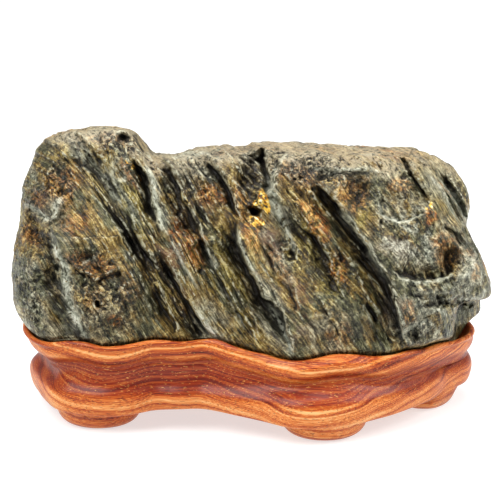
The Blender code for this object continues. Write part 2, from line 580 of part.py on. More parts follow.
def stand_underside(x, y):
    """Height of the stand's underside at a place: an arch, with five bowl-shaped feet reaching the floor."""
    arch = UNDERSIDE + arch_rise(x)
    height = arch
    for middle_x, middle_y, half_x, half_y, turn in FEET:
        cos, sin = math.cos(math.radians(turn)), math.sin(math.radians(turn))
        off_x, off_y = x / MM - middle_x, y / MM - middle_y
        along = (off_x * cos + off_y * sin) / half_x
        aside = (off_y * cos - off_x * sin) / half_y
        rise = np.clip((np.hypot(along, aside) - FOOT_FLAT) / (1 - FOOT_FLAT), 0, 1)
        height = np.minimum(height, arch * (1 - np.sqrt(1 - rise**2)))
    return height


def foot_ring(steps):
    """Evenly spaced points along the rock's foot, seen from above, with their outward directions."""
    curve = closed_curve(FOOT_PLAN, 40) * MM
    curve = np.vstack([curve, curve[:1]])
    reached = np.concatenate([[0.0], np.cumsum(np.hypot(*np.diff(curve, axis=0).T))])
    even = np.linspace(0, reached[-1], steps, endpoint=False)
    ring = np.stack([np.interp(even, reached, curve[:, k]) for k in range(2)], axis=-1)
    way = np.roll(ring, -1, 0) - np.roll(ring, 1, 0)
    way /= np.linalg.norm(way, axis=1)[:, None]
    return ring, np.stack([way[:, 1], -way[:, 0]], axis=-1)


def stand_surface():
    """(points, faces) of the stand: the profile swept round the rock's foot, and closed by the seat's floor
    and by an underside that the feet push down."""
    ring, outward = foot_ring(STAND_STEPS)
    rim = rim_height(ring[:, 0])
    swell = smooth_curve(ring[:, 0] / MM, SWELL) * ease(0.5 - ring[:, 1] / 0.030) * MM
    left_end = ease((LEFT_END[0] - ring[:, 0]) / LEFT_END[1])
    end = ease((np.abs(ring[:, 0]) - BOTH_ENDS[0]) / BOTH_ENDS[1]) * END_BASE * MM
    spine = np.stack([np.clip(ring[:, 0], *STAND_SPINE[:2]), np.full(STAND_STEPS, STAND_SPINE[2])], axis=-1)
    rows = []
    for share in np.linspace(0.9, 0.0, SEAT_ROWS):
        inner = ring + outward * (SEAT_GAP - SEAT_TAPER * (rim - SEAT_FLOOR))[:, None]
        flat = inner + (spine - inner) * share
        rows.append(np.column_stack([flat, np.full(STAND_STEPS, SEAT_FLOOR)]))
    rim_rows = [
        (offset, rim + drop * MM, RIM_CARRIED * ease((-drop - RIM_TURN[0]) / RIM_TURN[1]))
        for offset, drop in RIM_PART
    ]
    base_rows = [(offset, np.full(STAND_STEPS, height * MM), 1.0) for offset, height in BASE_PART]
    bridge_rows = [
        (rim_rows[-1][0] * (1 - share**2) + base_rows[0][0] * share**2,
         rim_rows[-1][1] * (1 - share) + base_rows[0][1] * share, RIM_CARRIED * (1 - share) + share)
        for share in BRIDGE_SHARES
    ]
    for offset, height, carried in rim_rows + bridge_rows + base_rows:
        neck = np.exp(-((height - rim + NECK_DROP) / NECK_SIZE) ** 2) * END_NECK * MM * left_end
        flat = ring + outward * (offset * MM + (swell - end) * carried - neck)[:, None]
        under = stand_underside(flat[:, 0], flat[:, 1])
        low = ease((UNDER_STARTS[0] - height) / UNDER_STARTS[1])
        height = height + arch_rise(ring[:, 0]) * ease((ARCH_TOP[0] - height) / ARCH_TOP[1])
        rows.append(np.column_stack([flat, height + (np.minimum(height, under) - height) * low]))
    edge = rows[-1][:, :2]
    for share in np.linspace(0.0, 0.9, 3 * SEAT_ROWS)[1:]:
        flat = edge + (spine - edge) * share
        rows.append(np.column_stack([flat, stand_underside(flat[:, 0], flat[:, 1])]))
    points = np.concatenate(rows)
    faces = []
    for row in range(len(rows) - 1):
        here = row * STAND_STEPS + np.arange(STAND_STEPS)
        after = row * STAND_STEPS + (np.arange(STAND_STEPS) + 1) % STAND_STEPS
        faces += np.stack([here, here + STAND_STEPS, after + STAND_STEPS, after], axis=-1).tolist()
    faces.append(list(range(STAND_STEPS)))
    faces.append(list(range(len(points) - STAND_STEPS, len(points)))[::-1])
    return points, faces


def main():
    for thing in list(bpy.data.objects):
        bpy.data.objects.remove(thing)
    stone = new_material("oiled river stone", (0.16, 0.15, 0.11), 0.42)
    wood = new_material("varnished hardwood", (0.46, 0.12, 0.027), 0.30)
    rock = new_object("rock", *rock_surface(), stone)
    thin_to(rock, ROCK_TRIANGLES)
    stand = new_object("stand", *stand_surface(), wood)
    thin_to(stand, STAND_TRIANGLES)


main()
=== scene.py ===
# %% [markdown]
# # A scholar's rock on its carved stand
# This script dresses two solids: a foliated river stone, and the block of hardwood that holds it.
# Both are natural materials worked by hand, so nothing on them is flat, straight or of one colour.
# Each piece is a surface computed with numpy, and each finish is built from noise at real sizes.

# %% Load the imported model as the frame
import math

import bpy
import numpy as np
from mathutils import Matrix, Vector


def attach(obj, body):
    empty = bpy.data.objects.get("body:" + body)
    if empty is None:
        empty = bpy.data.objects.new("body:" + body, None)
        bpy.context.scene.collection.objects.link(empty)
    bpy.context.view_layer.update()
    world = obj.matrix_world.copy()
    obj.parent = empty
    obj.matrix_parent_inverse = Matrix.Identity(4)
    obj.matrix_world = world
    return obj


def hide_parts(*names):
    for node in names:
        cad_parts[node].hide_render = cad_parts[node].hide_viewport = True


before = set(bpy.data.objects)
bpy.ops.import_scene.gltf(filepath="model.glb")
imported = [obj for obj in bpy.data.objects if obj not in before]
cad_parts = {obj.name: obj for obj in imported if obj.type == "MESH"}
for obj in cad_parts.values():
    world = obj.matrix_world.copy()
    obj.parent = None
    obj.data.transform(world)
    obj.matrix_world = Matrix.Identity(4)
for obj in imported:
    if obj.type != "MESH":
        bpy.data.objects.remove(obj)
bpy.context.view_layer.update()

MM = 0.001
TO_MIDDLE = np.array([0.0009, 0.0018, 0.0])  # as in the solids: from the sketch's middle to the object's

# %% [markdown]
# ## Small tools
# Colours are written as sRGB hex values, as a colour picker shows them, and one function turns them into
# the linear numbers that shaders use. One more function adds a node with its settings and its links, a
# third puts computed points into a mesh, and a fourth keeps numbers on those points for the shaders to
# read. Everything later is built from these four.

# %% Colour, node and mesh tools


def linear(hex_colour):
    """The linear colour of an sRGB hex value: each channel is bent by the sRGB curve."""
    channels = [int(hex_colour[i : i + 2], 16) / 255 for i in (1, 3, 5)]
    bent = [c / 12.92 if c <= 0.04045 else ((c + 0.055) / 1.055) ** 2.4 for c in channels]
    return (*bent, 1.0)


print("middle grey #808080 is", round(linear("#808080")[0], 3), "of white's light")


def add_node(tree, kind, settings=None, stops=(), **inputs):
    """Adds a shader node. Settings are its own values, stops are a colour ramp's (place, hex colour) pairs,
    and inputs go by socket name with _ for a space, or by number as _6. Each input is a value, a socket, or
    a node, which gives its first output."""
    node = tree.nodes.new("ShaderNode" + kind)
    for name, value in (settings or {}).items():
        setattr(node, name, value)
    for place, _ in stops[2:]:
        node.color_ramp.elements.new(place)
    for k, (place, colour) in enumerate(stops):
        node.color_ramp.elements[k].position = place
        node.color_ramp.elements[k].color = linear(colour)
    for name, value in inputs.items():
        socket = node.inputs[int(name[1:])] if name[1:].isdigit() else node.inputs[name.replace("_", " ")]
        if isinstance(value, bpy.types.Node):
            value = next(output for output in value.outputs if output.enabled)
        if isinstance(value, bpy.types.NodeSocket):
            tree.links.new(value, socket)
        else:
            socket.default_value = value
    return node


def new_piece(name, points, quads, material):
    """A mesh object at the origin from arrays: points (n, 3) in metres and quads (m, 4) of their numbers."""
    mesh = bpy.data.meshes.new(name)
    mesh.vertices.add(len(points))
    mesh.vertices.foreach_set("co", np.ascontiguousarray(points, np.float32).ravel())
    mesh.loops.add(quads.size)
    mesh.loops.foreach_set("vertex_index", quads.astype(np.int32).ravel())
    mesh.polygons.add(len(quads))
    mesh.polygons.foreach_set("loop_start", np.arange(0, quads.size, 4, dtype=np.int32))
    mesh.update(calc_edges=True)
    mesh.validate()
    mesh.shade_smooth()
    mesh.materials.append(material)
    piece = bpy.data.objects.new(name, mesh)
    bpy.context.collection.objects.link(piece)
    return piece


def set_attribute(mesh, name, values):
    """Stores one number, or one vector, for each point of the mesh."""
    kind = "FLOAT" if values.ndim == 1 else "FLOAT_VECTOR"
    layer = mesh.attributes.new(name, kind, "POINT")
    layer.data.foreach_set("value" if values.ndim == 1 else "vector", values.astype(np.float32).ravel())


# %% [markdown]
# ## The camera and the sketch
# The camera stands in front of the rock, a little above it, with a long lens. The rock's shapes are laid
# out on a sketch seen from that same place, 500 squares wide, so a cleft that is drawn at a place on the
# sketch is cut where the camera sees that place. The sketch is only a way to aim: the cuts are real.

# %% Camera, and the way from a point to its place on the sketch
SQUARE = 0.2592 / 480  # the rock spans 480 squares and 259.2 mm, as seen at the aim's distance
SKETCH_MIDDLE = 250.0
SKETCH_REACH = (-10.0, 510.0)
VIEWER_DISTANCE = 0.90
VIEWER_RISE = math.radians(15)
AIM = np.array([-0.001, 0.0, 0.089])
TOWARDS_ROCK = np.array([0.0, math.cos(VIEWER_RISE), -math.sin(VIEWER_RISE)])
UP_THE_SKETCH = np.array([0.0, math.sin(VIEWER_RISE), math.cos(VIEWER_RISE)])
VIEWER = AIM - VIEWER_DISTANCE * TOWARDS_ROCK
SENSOR_MM = 36.0

camera_data = bpy.data.cameras.new("camera")
camera_data.sensor_width = SENSOR_MM
camera_data.lens = SENSOR_MM * VIEWER_DISTANCE / (SQUARE * 2 * SKETCH_MIDDLE)
camera = bpy.data.objects.new("camera", camera_data)
camera.location = VIEWER + TO_MIDDLE
camera.rotation_euler = (math.pi / 2 - VIEWER_RISE, 0, 0)
bpy.context.collection.objects.link(camera)
bpy.context.scene.camera = camera
print("lens in mm:", round(camera_data.lens, 1))


def on_sketch(points):
    """Perspective: a point's offset across and up the view, divided by its distance along the view.
    Returns (across, down) in squares, and the distance."""
    seen = points - VIEWER
    far = seen @ TOWARDS_ROCK
    scale = VIEWER_DISTANCE / SQUARE / far
    return SKETCH_MIDDLE + seen[..., 0] * scale, SKETCH_MIDDLE - (seen @ UP_THE_SKETCH) * scale, far


# %% [markdown]
# ## Curves, blends and distances
# Natural shapes come from a few soft operations: an S-curve between 0 and 1, the larger of two numbers
# with its corner rounded off, a smooth curve through a few points, and the distance to a path. The rock
# and the stand both use them.

# %% Soft operations


def ease(t):
    """The S-curve 3t^2 - 2t^3, level at 0 and 1."""
    t = np.clip(t, 0.0, 1.0)
    return t * t * (3.0 - 2.0 * t)


def smooth_max(a, b, reach):
    """The larger of a and b, with its corner rounded off where they come within reach of each other: b plus
    (a - b) x share plus reach x share x (1 - share), with a share that goes from 0 to 1 as a passes b."""
    share = np.clip(0.5 + 0.5 * (a - b) / reach, 0.0, 1.0)
    return b + (a - b) * share + reach * share * (1.0 - share)


def smooth_curve(at, table):
    """The cubic Hermite curve through a table of places and values, whose slope at each place comes from
    the values before and after it."""
    places, values = (np.array(row, float) for row in table)
    slopes = np.gradient(values, places)
    i = np.clip(np.searchsorted(places, at) - 1, 0, len(places) - 2)
    span = places[i + 1] - places[i]
    t = np.clip((at - places[i]) / span, 0.0, 1.0)
    low = (1 + 2 * t) * values[i] + t * span * slopes[i]
    high = (3 - 2 * t) * values[i + 1] - (1 - t) * span * slopes[i + 1]
    return (1 - t) ** 2 * low + t**2 * high


def closed_curve(corners, steps):
    """Catmull-Rom: the smooth closed curve that passes through every corner, steps points to a side."""
    b = np.array(corners, float)[:, None]
    a, c, d = np.roll(b, 1, 0), np.roll(b, -1, 0), np.roll(b, -2, 0)
    t = (np.arange(steps) / steps)[None, :, None]
    curve = 0.5 * (2 * b + (c - a) * t + (2 * a - 5 * b + 4 * c - d) * t**2 + (3 * b - a - 3 * c + d) * t**3)
    return curve.reshape(-1, 2)


def nearest_on_path(u, v, path):
    """Distance to the nearest piece of a path, the side of it (+1 to the right of its way, with v down),
    and how far along the path that piece is, from 0 to 1."""
    path = np.array(path, float)
    lengths = np.hypot(*np.diff(path, axis=0).T)
    reached = np.concatenate([[0.0], np.cumsum(lengths)])
    best = np.full(u.shape, 1e9)
    side = np.zeros(u.shape)
    share = np.zeros(u.shape)
    for (start_u, start_v), (end_u, end_v), length, before in zip(path, path[1:], lengths, reached):
        way_u, way_v = (end_u - start_u) / length, (end_v - start_v) / length
        along = np.clip((u - start_u) * way_u + (v - start_v) * way_v, 0.0, length)
        off_u, off_v = u - start_u - along * way_u, v - start_v - along * way_v
        gap = np.hypot(off_u, off_v)
        nearer = gap < best
        best = np.where(nearer, gap, best)
        side = np.where(nearer, np.sign(way_u * off_v - way_v * off_u), side)
        share = np.where(nearer, (before + along) / reached[-1], share)
    return best, side, share


def depth_inside(outline, reach, step):
    """A sheet of numbers: the distance from each place to a closed curve, positive inside it. A place is
    inside if a line from it to the far right crosses the curve an odd number of times."""
    line = np.arange(reach[0], reach[1] + step, step)
    u, v = np.meshgrid(line, line)
    curve = closed_curve(outline, 4)
    curve = np.vstack([curve, curve[:1]])
    gap, _, _ = nearest_on_path(u, v, curve)
    crossings = np.zeros(u.shape, int)
    for (start_u, start_v), (end_u, end_v) in zip(curve, curve[1:]):
        if start_v == end_v:
            continue
        spans = (v >= min(start_v, end_v)) & (v < max(start_v, end_v))
        crossings += spans & (u < start_u + (v - start_v) / (end_v - start_v) * (end_u - start_u))
    return np.where(crossings % 2 == 1, gap, -gap), reach[0], step


def read_sheet(sheet, u, v):
    """The value of a sheet at each place, blended between its four nearest numbers."""
    numbers, start, step = sheet
    last = numbers.shape[0] - 1.001
    u = np.clip((u - start) / step, 0.0, last)
    v = np.clip((v - start) / step, 0.0, last)
    i, j = u.astype(int), v.astype(int)
    fu, fv = u - i, v - j
    top = numbers[j, i] * (1 - fu) + numbers[j, i + 1] * fu
    low = numbers[j + 1, i] * (1 - fu) + numbers[j + 1, i + 1] * fu
    return top * (1 - fv) + low * fv


def lattice_noise(points, seed):
    """Smooth noise from -1 to 1: every whole-numbered corner has a value of its own, blended by S-curves."""
    corner = np.floor(points).astype(np.int64)
    part = points - corner
    blend = part * part * (3 - 2 * part)
    total = np.zeros(points.shape[:-1])
    for step in np.ndindex(2, 2, 2):
        x, y, z = (corner[..., k] + step[k] for k in range(3))
        number = (x * 374761393 + y * 668265263 + z * 2147483647 + seed * 1274126177) & 0xFFFFFFFF
        number = ((number ^ (number >> 13)) * 1103515245 + 12345) & 0xFFFFFFFF
        value = ((number ^ (number >> 16)) & 0xFFFF) / 32767.5 - 1.0
        weight = np.ones(points.shape[:-1])
        for k in range(3):
            weight = weight * (blend[..., k] if step[k] else 1 - blend[..., k])
        total += weight * value
    return total


print("S-curve at 0, 1/4, 1/2 and 1:", ease(np.array([0, 0.25, 0.5, 1])))

# %% [markdown]
# ## The rock's plain form
# On the real object this is one stone, worn by a river and oiled by hand. A sculptor would rough out a
# block first and cut the clefts afterwards. The block here is what is left by a few limits: its outline
# on the sketch, its front and back faces, its flat top, and its foot in the seat, each pair of limits
# meeting in a rounded corner. A mesh of a box, whose lines lean with the rock's grain, is then shrunk
# onto it along rays from a spine inside. A sculpted or scanned mesh would also do, but a rule can be
# read, and it gives as many points as the detail needs.

# %% Limits of the rock
# Outlines on the sketch, clockwise from the lower left: of the rock's front half, and of its back half.
FRONT_OUTLINE = [
    (28, 336), (17, 315), (12, 280), (13, 247), (19, 218), (21, 190), (26, 171), (33, 152),
    (45, 139), (71, 130), (104, 127), (124, 128), (138, 134), (152, 144), (180, 134), (300, 130),
    (376, 132), (412, 142), (430, 156), (441, 180), (453, 201), (463, 222), (477, 250), (488, 272),
    (492, 285), (489, 297), (472, 301), (458, 306), (454, 320), (450, 338), (440, 356), (405, 366),
    (350, 376), (300, 380), (270, 376), (235, 370), (205, 364), (160, 364), (115, 366), (80, 362),
    (45, 352),
]
BACK_OUTLINE = [
    (40, 336), (26, 310), (22, 270), (28, 215), (36, 178), (54, 150), (85, 135), (120, 134),
    (150, 142), (180, 132), (300, 130), (400, 133), (441, 149), (460, 162), (473, 179), (476, 193),
    (473, 210), (466, 224), (464, 245), (468, 270), (476, 290), (480, 308), (478, 322), (470, 337),
    (440, 356), (350, 376),
    (200, 376), (80, 356),
]

# The rock's foot, seen from above where it meets the rim of its seat, in millimetres, from the left end.
FOOT_PLAN = [
    (-121, 5), (-118, -16), (-108, -33), (-93, -40), (-78, -44), (-64, -43), (-52, -39), (-38, -39),
    (-24, -37), (-8, -43), (8, -47), (24, -52), (40, -50), (58, -46), (74, -41), (92, -28), (107, -12),
    (117, 4), (120, 20), (115, 36), (99, 46), (70, 52), (30, 55), (-20, 55), (-70, 52), (-101, 43),
    (-117, 26),
]

# Heights of the rock's flat top and of the seat's rim along X, and how far the faces of the rock stand
# back as they rise, in millimetres.
TOP_HEIGHTS = (
    [-60, -54, -41, -28, -16, -7, 2, 22, 45, 68, 86, 99, 111, 118, 126],
    [143, 141, 140.5, 143, 145, 144, 146, 145.5, 145, 145.5, 143.5, 141, 136, 130, 118],
)
RIM_HEIGHTS = (
    [-123, -114, -106, -95, -86, -77, -69, -59, -46, -37, -27, -17, -8, 1, 8, 16, 23, 32, 41, 53, 62, 73,
     81, 90, 97, 108, 118, 125],
    [48.6, 48.2, 48.8, 51.0, 51.3, 49.6, 49.9, 51.1, 51.3, 50.5, 51.0, 51.6, 49.1, 47.1, 46.2, 44.6, 44.4,
     45.5, 47.0, 46.2, 44.5, 44.3, 44.9, 43.8, 44.0, 41.8, 40.6, 40.2],
)
FRONT_FACE = (
    [-131, -122, -110, -94, -78, -64, -52, -38, -24, -8, 8, 24, 40, 58, 74, 92, 108, 122, 131],
    [2, -20, -35, -42, -46, -45, -41, -41, -39, -45, -49, -54, -52, -48, -45, -39, -32, -25, -16],
)
FRONT_LEAN = ([30, 45, 70, 100, 125, 145, 160], [2, 0, -1, 8, 18, 29, 38])
BACK_FACE = ([-131, -110, -70, 0, 60, 100, 131], [38, 50, 56, 58, 57, 52, 40])
BACK_LEAN = ([30, 60, 95, 125, 145, 160], [0, 0, 5, 14, 22, 30])
SEAT_GAP = 0.0010  # between the rock's foot and the wall of its seat
SEAT_TAPER = 0.55  # how far foot and wall draw in, for each unit below the rim
FOOT_FLARE = 1.6  # how far the rock may spread over its seat, for each unit above the rim
SEAT_FLOOR = 0.030
ROCK_BOTTOM = 0.0303
KNOB_RELEASE = 0.030  # how much higher the top may go at the knob, where the outline ends it instead
KNOB_ENDS, KNOB_BLEND = -0.052, 0.016  # along X
BACK_STARTS, BACK_BLEND = 0.004, 0.030  # along Y, where the front outline gives way to the back one
OUTLINE_GROWTH = 2.2  # what rounding the corners takes off the outlines, in squares
# Where the limits of the rock meet, their corners are rounded over these reaches, in metres.
FACE_ROUND, OUTLINE_ROUND, TOP_ROUND, FOOT_ROUND, BOTTOM_ROUND = 0.030, 0.016, 0.012, 0.003, 0.002
SHEET_STEP, PLAN_STEP, PLAN_REACH = 2.0, 1.5, (-150.0, 150.0)

FRONT_SHEET = depth_inside(FRONT_OUTLINE, SKETCH_REACH, SHEET_STEP)
BACK_SHEET = depth_inside(BACK_OUTLINE, SKETCH_REACH, SHEET_STEP)
FOOT_SHEET = depth_inside(FOOT_PLAN, PLAN_REACH, PLAN_STEP)
print("the rock's foot reaches in by", round(float(FOOT_SHEET[0].max())), "mm at most")


def rim_height(x):
    """Height of the seat's rim, from its table of heights along X."""
    return MM * smooth_curve(x / MM, RIM_HEIGHTS)


def past_surface(points):
    """How far each point lies outside the plain form: the smooth maximum of its distances past the
    outline, the faces, the top, the foot and the bottom, negative where it is inside them all."""
    x, y, z = points[..., 0], points[..., 1], points[..., 2]
    across, down, far = on_sketch(points)
    backward = ease((y - BACK_STARTS) / BACK_BLEND)
    inside = read_sheet(FRONT_SHEET, across, down) * (1 - backward)
    inside += read_sheet(BACK_SHEET, across, down) * backward
    past_outline = -(inside + OUTLINE_GROWTH) * SQUARE * far / VIEWER_DISTANCE
    front = MM * (smooth_curve(x / MM, FRONT_FACE) + smooth_curve(z / MM, FRONT_LEAN))
    back = MM * (smooth_curve(x / MM, BACK_FACE) - smooth_curve(z / MM, BACK_LEAN))
    knob = ease((KNOB_ENDS - x) / KNOB_BLEND)
    top = MM * smooth_curve(x / MM, TOP_HEIGHTS) + KNOB_RELEASE * knob
    past = smooth_max(front - y, y - back, FACE_ROUND)
    past = smooth_max(past, z - top, TOP_ROUND)
    past = smooth_max(past, past_outline, OUTLINE_ROUND)
    above_rim = z - rim_height(x)
    draw_in = np.where(above_rim > 0, -FOOT_FLARE * above_rim, -SEAT_TAPER * above_rim)
    past = smooth_max(past, draw_in - MM * read_sheet(FOOT_SHEET, x / MM, y / MM), FOOT_ROUND)
    return smooth_max(past, ROCK_BOTTOM - z, BOTTOM_ROUND)


# %% Rays from the spine to the plain form
SPINE_END = 0.082  # the rays start on a spine along X, this long each way
SPINE_MIDDLE = np.array([0.002, 0.004, 0.088])
BOX_HALF = np.array([0.150, 0.062, 0.066])
BOX_CELLS = (460, 110, 200)
PAST_ANY = 2.2  # times its own length, every ray ends outside the rock
HALVINGS = 17
NUDGE = 0.0004
GRAIN_DIP = math.radians(62)


def box_skin(across, deep, high):
    """(corners, quads) of the skin of a box of across x deep x high cells, with corners as whole numbers."""
    index = np.full((across + 1, deep + 1, high + 1), -1)
    skin = np.ones(index.shape, bool)
    skin[1:-1, 1:-1, 1:-1] = False
    corners = np.argwhere(skin)
    index[skin] = np.arange(len(corners))
    quads = []
    for axis, end, turned in [(0, 0, 0), (0, -1, 1), (1, 0, 1), (1, -1, 0), (2, 0, 0), (2, -1, 1)]:
        side = np.take(index, end, axis=axis)
        ring = [side[:-1, :-1], side[:-1, 1:], side[1:, 1:], side[1:, :-1]]
        quads.append(np.stack(ring[::-1] if turned else ring, axis=-1).reshape(-1, 4))
    return corners, np.concatenate(quads)


def plain_form(cells):
    """(points, outward directions, quads): each ray's crossing is found by halving the stretch between a
    point inside and a point outside, and the outward direction is the steepest way out."""
    corners, quads = box_skin(*cells)
    box = (2 * corners / np.array(cells) - 1) * BOX_HALF
    start = np.zeros(box.shape)
    start[:, 0] = np.clip(box[:, 0], -SPINE_END, SPINE_END)
    way = box - start
    way[:, 0] -= way[:, 2] / math.tan(GRAIN_DIP)
    start += SPINE_MIDDLE
    near, beyond = np.zeros(len(box)), np.full(len(box), PAST_ANY)
    for _ in range(HALVINGS):
        middle = (near + beyond) / 2
        outside = past_surface(start + way * middle[:, None]) > 0
        beyond = np.where(outside, middle, beyond)
        near = np.where(outside, near, middle)
    points = start + way * near[:, None]
    slope = np.stack([past_surface(points + NUDGE * axis) for axis in np.eye(3)], axis=-1)
    slope -= past_surface(points)[:, None]
    return points, slope / np.linalg.norm(slope, axis=1)[:, None], quads


plain, outward, rock_quads = plain_form(BOX_CELLS)
print("plain form:", len(plain), "points, size in mm", np.round(np.ptp(plain, axis=0) / MM, 1))

# %% [markdown]
# ## Clefts, ledges and hollows
# The rock's face is split by slanting clefts, and its slabs overlap like shingles. Each one is a stroke
# on the sketch: a path with a width and a depth. A sculptor would carve them one at a time, and so does
# this cell, onto a sheet of numbers that says how far each place is pushed back from the camera. A
# displacement image would do the same but could not be read or changed. The short strokes that follow the
# long ones are too fine for the solid and exist only here. Strokes of the same form, with no depth, also
# mark pale edges: partly worn pale by hands and water, partly a painted highlight.

# %% The strokes, in squares on the sketch, with depths in millimetres
# In a cleft the surface sinks towards its path over a slope, and rises again at a wall. For a path that runs
# down the sketch the slope is on its left and the wall on its right: (path, slope, wall, depth).
CLEFTS = [
    ([(76, 138), (86, 150), (96, 165), (108, 188), (122, 216), (138, 246), (152, 272)], 10, 6.0, 6.5),
    ([(91, 146), (101, 165), (112, 186), (122, 204)], 3.5, 1.6, 3.0),
    ([(60, 146), (76, 162), (92, 186), (106, 206), (116, 226)], 5, 2.0, 2.4),
    ([(50, 226), (50, 242), (56, 258), (63, 276), (68, 298)], 10, 4.5, 7.0),
    ([(42, 256), (52, 278), (60, 298), (65, 313), (73, 328), (88, 346)], 17, 5.0, 9.0),
    ([(24, 205), (40, 213), (52, 224)], 4, 8.0, 5.0),
    ([(131, 156), (136, 165), (143, 178), (147, 190), (148, 206), (156, 226)], 5.5, 2.4, 12.0),
    ([(102, 199), (115, 217), (128, 237), (144, 260), (153, 279), (160, 299), (172, 323)], 7, 2.2, 4.0),
    ([(122, 228), (134, 242), (144, 254), (152, 264), (159, 276)], 10, 3.0, 7.0),
    ([(155, 248), (169, 274), (180, 297), (191, 314), (203, 328), (218, 348)], 11, 3.2, 12.0),
    ([(150, 280), (161, 303), (168, 314), (173, 324), (178, 340)], 6, 2.0, 5.0),
    ([(163, 158), (173, 182), (181, 203), (191, 221), (203, 242)], 16, 4.5, 10.0),
    ([(180, 168), (190, 190), (200, 210), (210, 228)], 5, 2.0, 3.5),
    ([(205, 156), (216, 175), (225, 188), (231, 202), (240, 221)], 5, 1.8, 8.0),
    ([(199, 236), (206, 254), (215, 272)], 4.5, 2.0, 7.0),
    ([(212, 264), (224, 288), (236, 310), (250, 334), (260, 352)], 7, 2.4, 4.5),
    ([(234, 214), (237, 240), (241, 258), (250, 279), (259, 297), (269, 305), (279, 315), (285, 332),
      (293, 358)], 15, 3.0, 11.0),
    ([(262, 142), (263, 160), (266, 172), (268, 183), (266, 200)], 7, 2.2, 15.0),
    ([(282, 204), (291, 221), (300, 230), (314, 238), (322, 256), (332, 280), (344, 304)], 16, 4.0, 8.0),
    ([(254, 236), (268, 256), (282, 280), (296, 304), (304, 324)], 5, 2.0, 3.2),
    ([(308, 182), (325, 197), (339, 213), (351, 231), (362, 249), (374, 270)], 12, 3.0, 11.0),
    ([(358, 240), (371, 260), (380, 272), (387, 286), (391, 300), (393, 313), (399, 328), (408, 350)],
     19, 3.4, 14.0),
    ([(396, 146), (405, 163), (413, 178), (422, 195), (432, 210)], 5.5, 2.0, 9.0),
    ([(458, 266), (441, 276), (422, 278), (401, 275), (390, 267)], 10, 2.4, 7.5),
    ([(437, 222), (455, 235), (468, 250)], 3.5, 1.8, 4.0),
    ([(434, 172), (446, 188), (458, 204), (468, 222), (478, 244), (487, 270)], 5, 2.0, 5.0),
    ([(438, 170), (455, 199), (471, 228)], 8, 3.0, 11.0),
    ([(366, 302), (372, 312), (379, 322)], 3, 1.8, 4.5),
    ([(478, 300), (458, 304), (440, 304), (420, 307)], 7, 2.4, 8.0),
]
# A ledge drops away on the sketch's right of a path that runs down, or on its left where the reach is
# negative, and where the drop is negative that side stands proud: (path, reach, drop, half its edge).
LEDGES = [
    ([(53, 220), (49, 238), (55, 260), (67, 288), (79, 314), (92, 342)], 34.0, -8.0, 4.0),
    ([(54, 224), (40, 212), (24, 202)], -26.0, -5.5, 4.0),
    ([(149, 164), (151, 195), (157, 220), (172, 248)], 26.0, -4.5, 2.5),
    ([(62, 248), (75, 268), (96, 282), (110, 274), (126, 270)], -18.0, 5.5, 2.0),
    ([(208, 154), (226, 184), (242, 218)], 22.0, -3.5, 2.0),
    ([(236, 220), (240, 246), (249, 270), (258, 288), (268, 300), (280, 313), (287, 330), (295, 358)],
     34.0, -8.0, 2.5),
    ([(283, 150), (274, 181), (265, 198)], 26.0, -7.0, 3.0),
    ([(318, 186), (338, 206), (352, 224), (366, 246), (380, 268), (390, 288), (394, 306), (402, 328),
      (411, 350)], 32.0, -7.0, 2.5),
    ([(372, 170), (345, 173), (321, 171)], -18.0, -5.0, 2.5),
    ([(383, 189), (380, 215), (397, 224), (413, 219), (429, 211)], 18.0, 3.6, 1.5),
    ([(160, 246), (176, 276), (190, 302), (208, 332)], 16.0, -4.0, 2.0),
    ([(442, 252), (446, 272), (462, 276), (470, 262)], -12.0, -5.0, 2.0),
    ([(170, 152), (214, 152), (258, 148)], -14.0, -2.0, 2.0),
    ([(446, 176), (462, 200), (476, 230), (487, 262)], 14.0, -4.5, 1.5),
    ([(432, 176), (446, 196), (458, 214), (470, 236)], 12.0, -4.0, 1.5),
    ([(404, 296), (424, 300), (452, 298)], 12.0, 3.0, 1.5),
]
# A hollow is a dished oval: (middle, half sizes, turn in degrees, depth).
HOLLOWS = [
    ((34, 226), (13, 19), 10, 6.0),
    ((58, 182), (13, 18), 20, 2.6),
    ((55, 268), (3.5, 5.5), 10, 4.0),
    ((92, 264), (22, 12), 20, 4.0),
    ((22, 291), (6, 7), 0, 2.0),
    ((36, 308), (6, 6), 0, 2.0),
    ((98, 305), (4, 5), 0, 3.0),
    ((250, 178), (12, 27), 0, 9.0),
    ((255, 211), (5, 7), -40, 6.0),
    ((318, 172), (22, 13), 10, 3.5),
    ((357, 192), (17, 18), 10, 5.5),
    ((290, 256), (6, 7), 0, 3.5),
    ((450, 259), (14, 16), -20, 11.0),
    ((411, 333), (10, 9), 0, 7.0),
    ((216, 241), (11, 8), 20, -4.5),
    ((340, 268), (9, 12), -20, 3.5),
    ((124, 140), (9, 6), 40, 3.5),
    ((280, 152), (5, 3), 0, 5.0),
    ((430, 158), (9, 3), 18, 5.0),
    ((432, 290), (30, 7), -3, -3.0),
    ((396, 246), (20, 22), 0, -2.0),
]
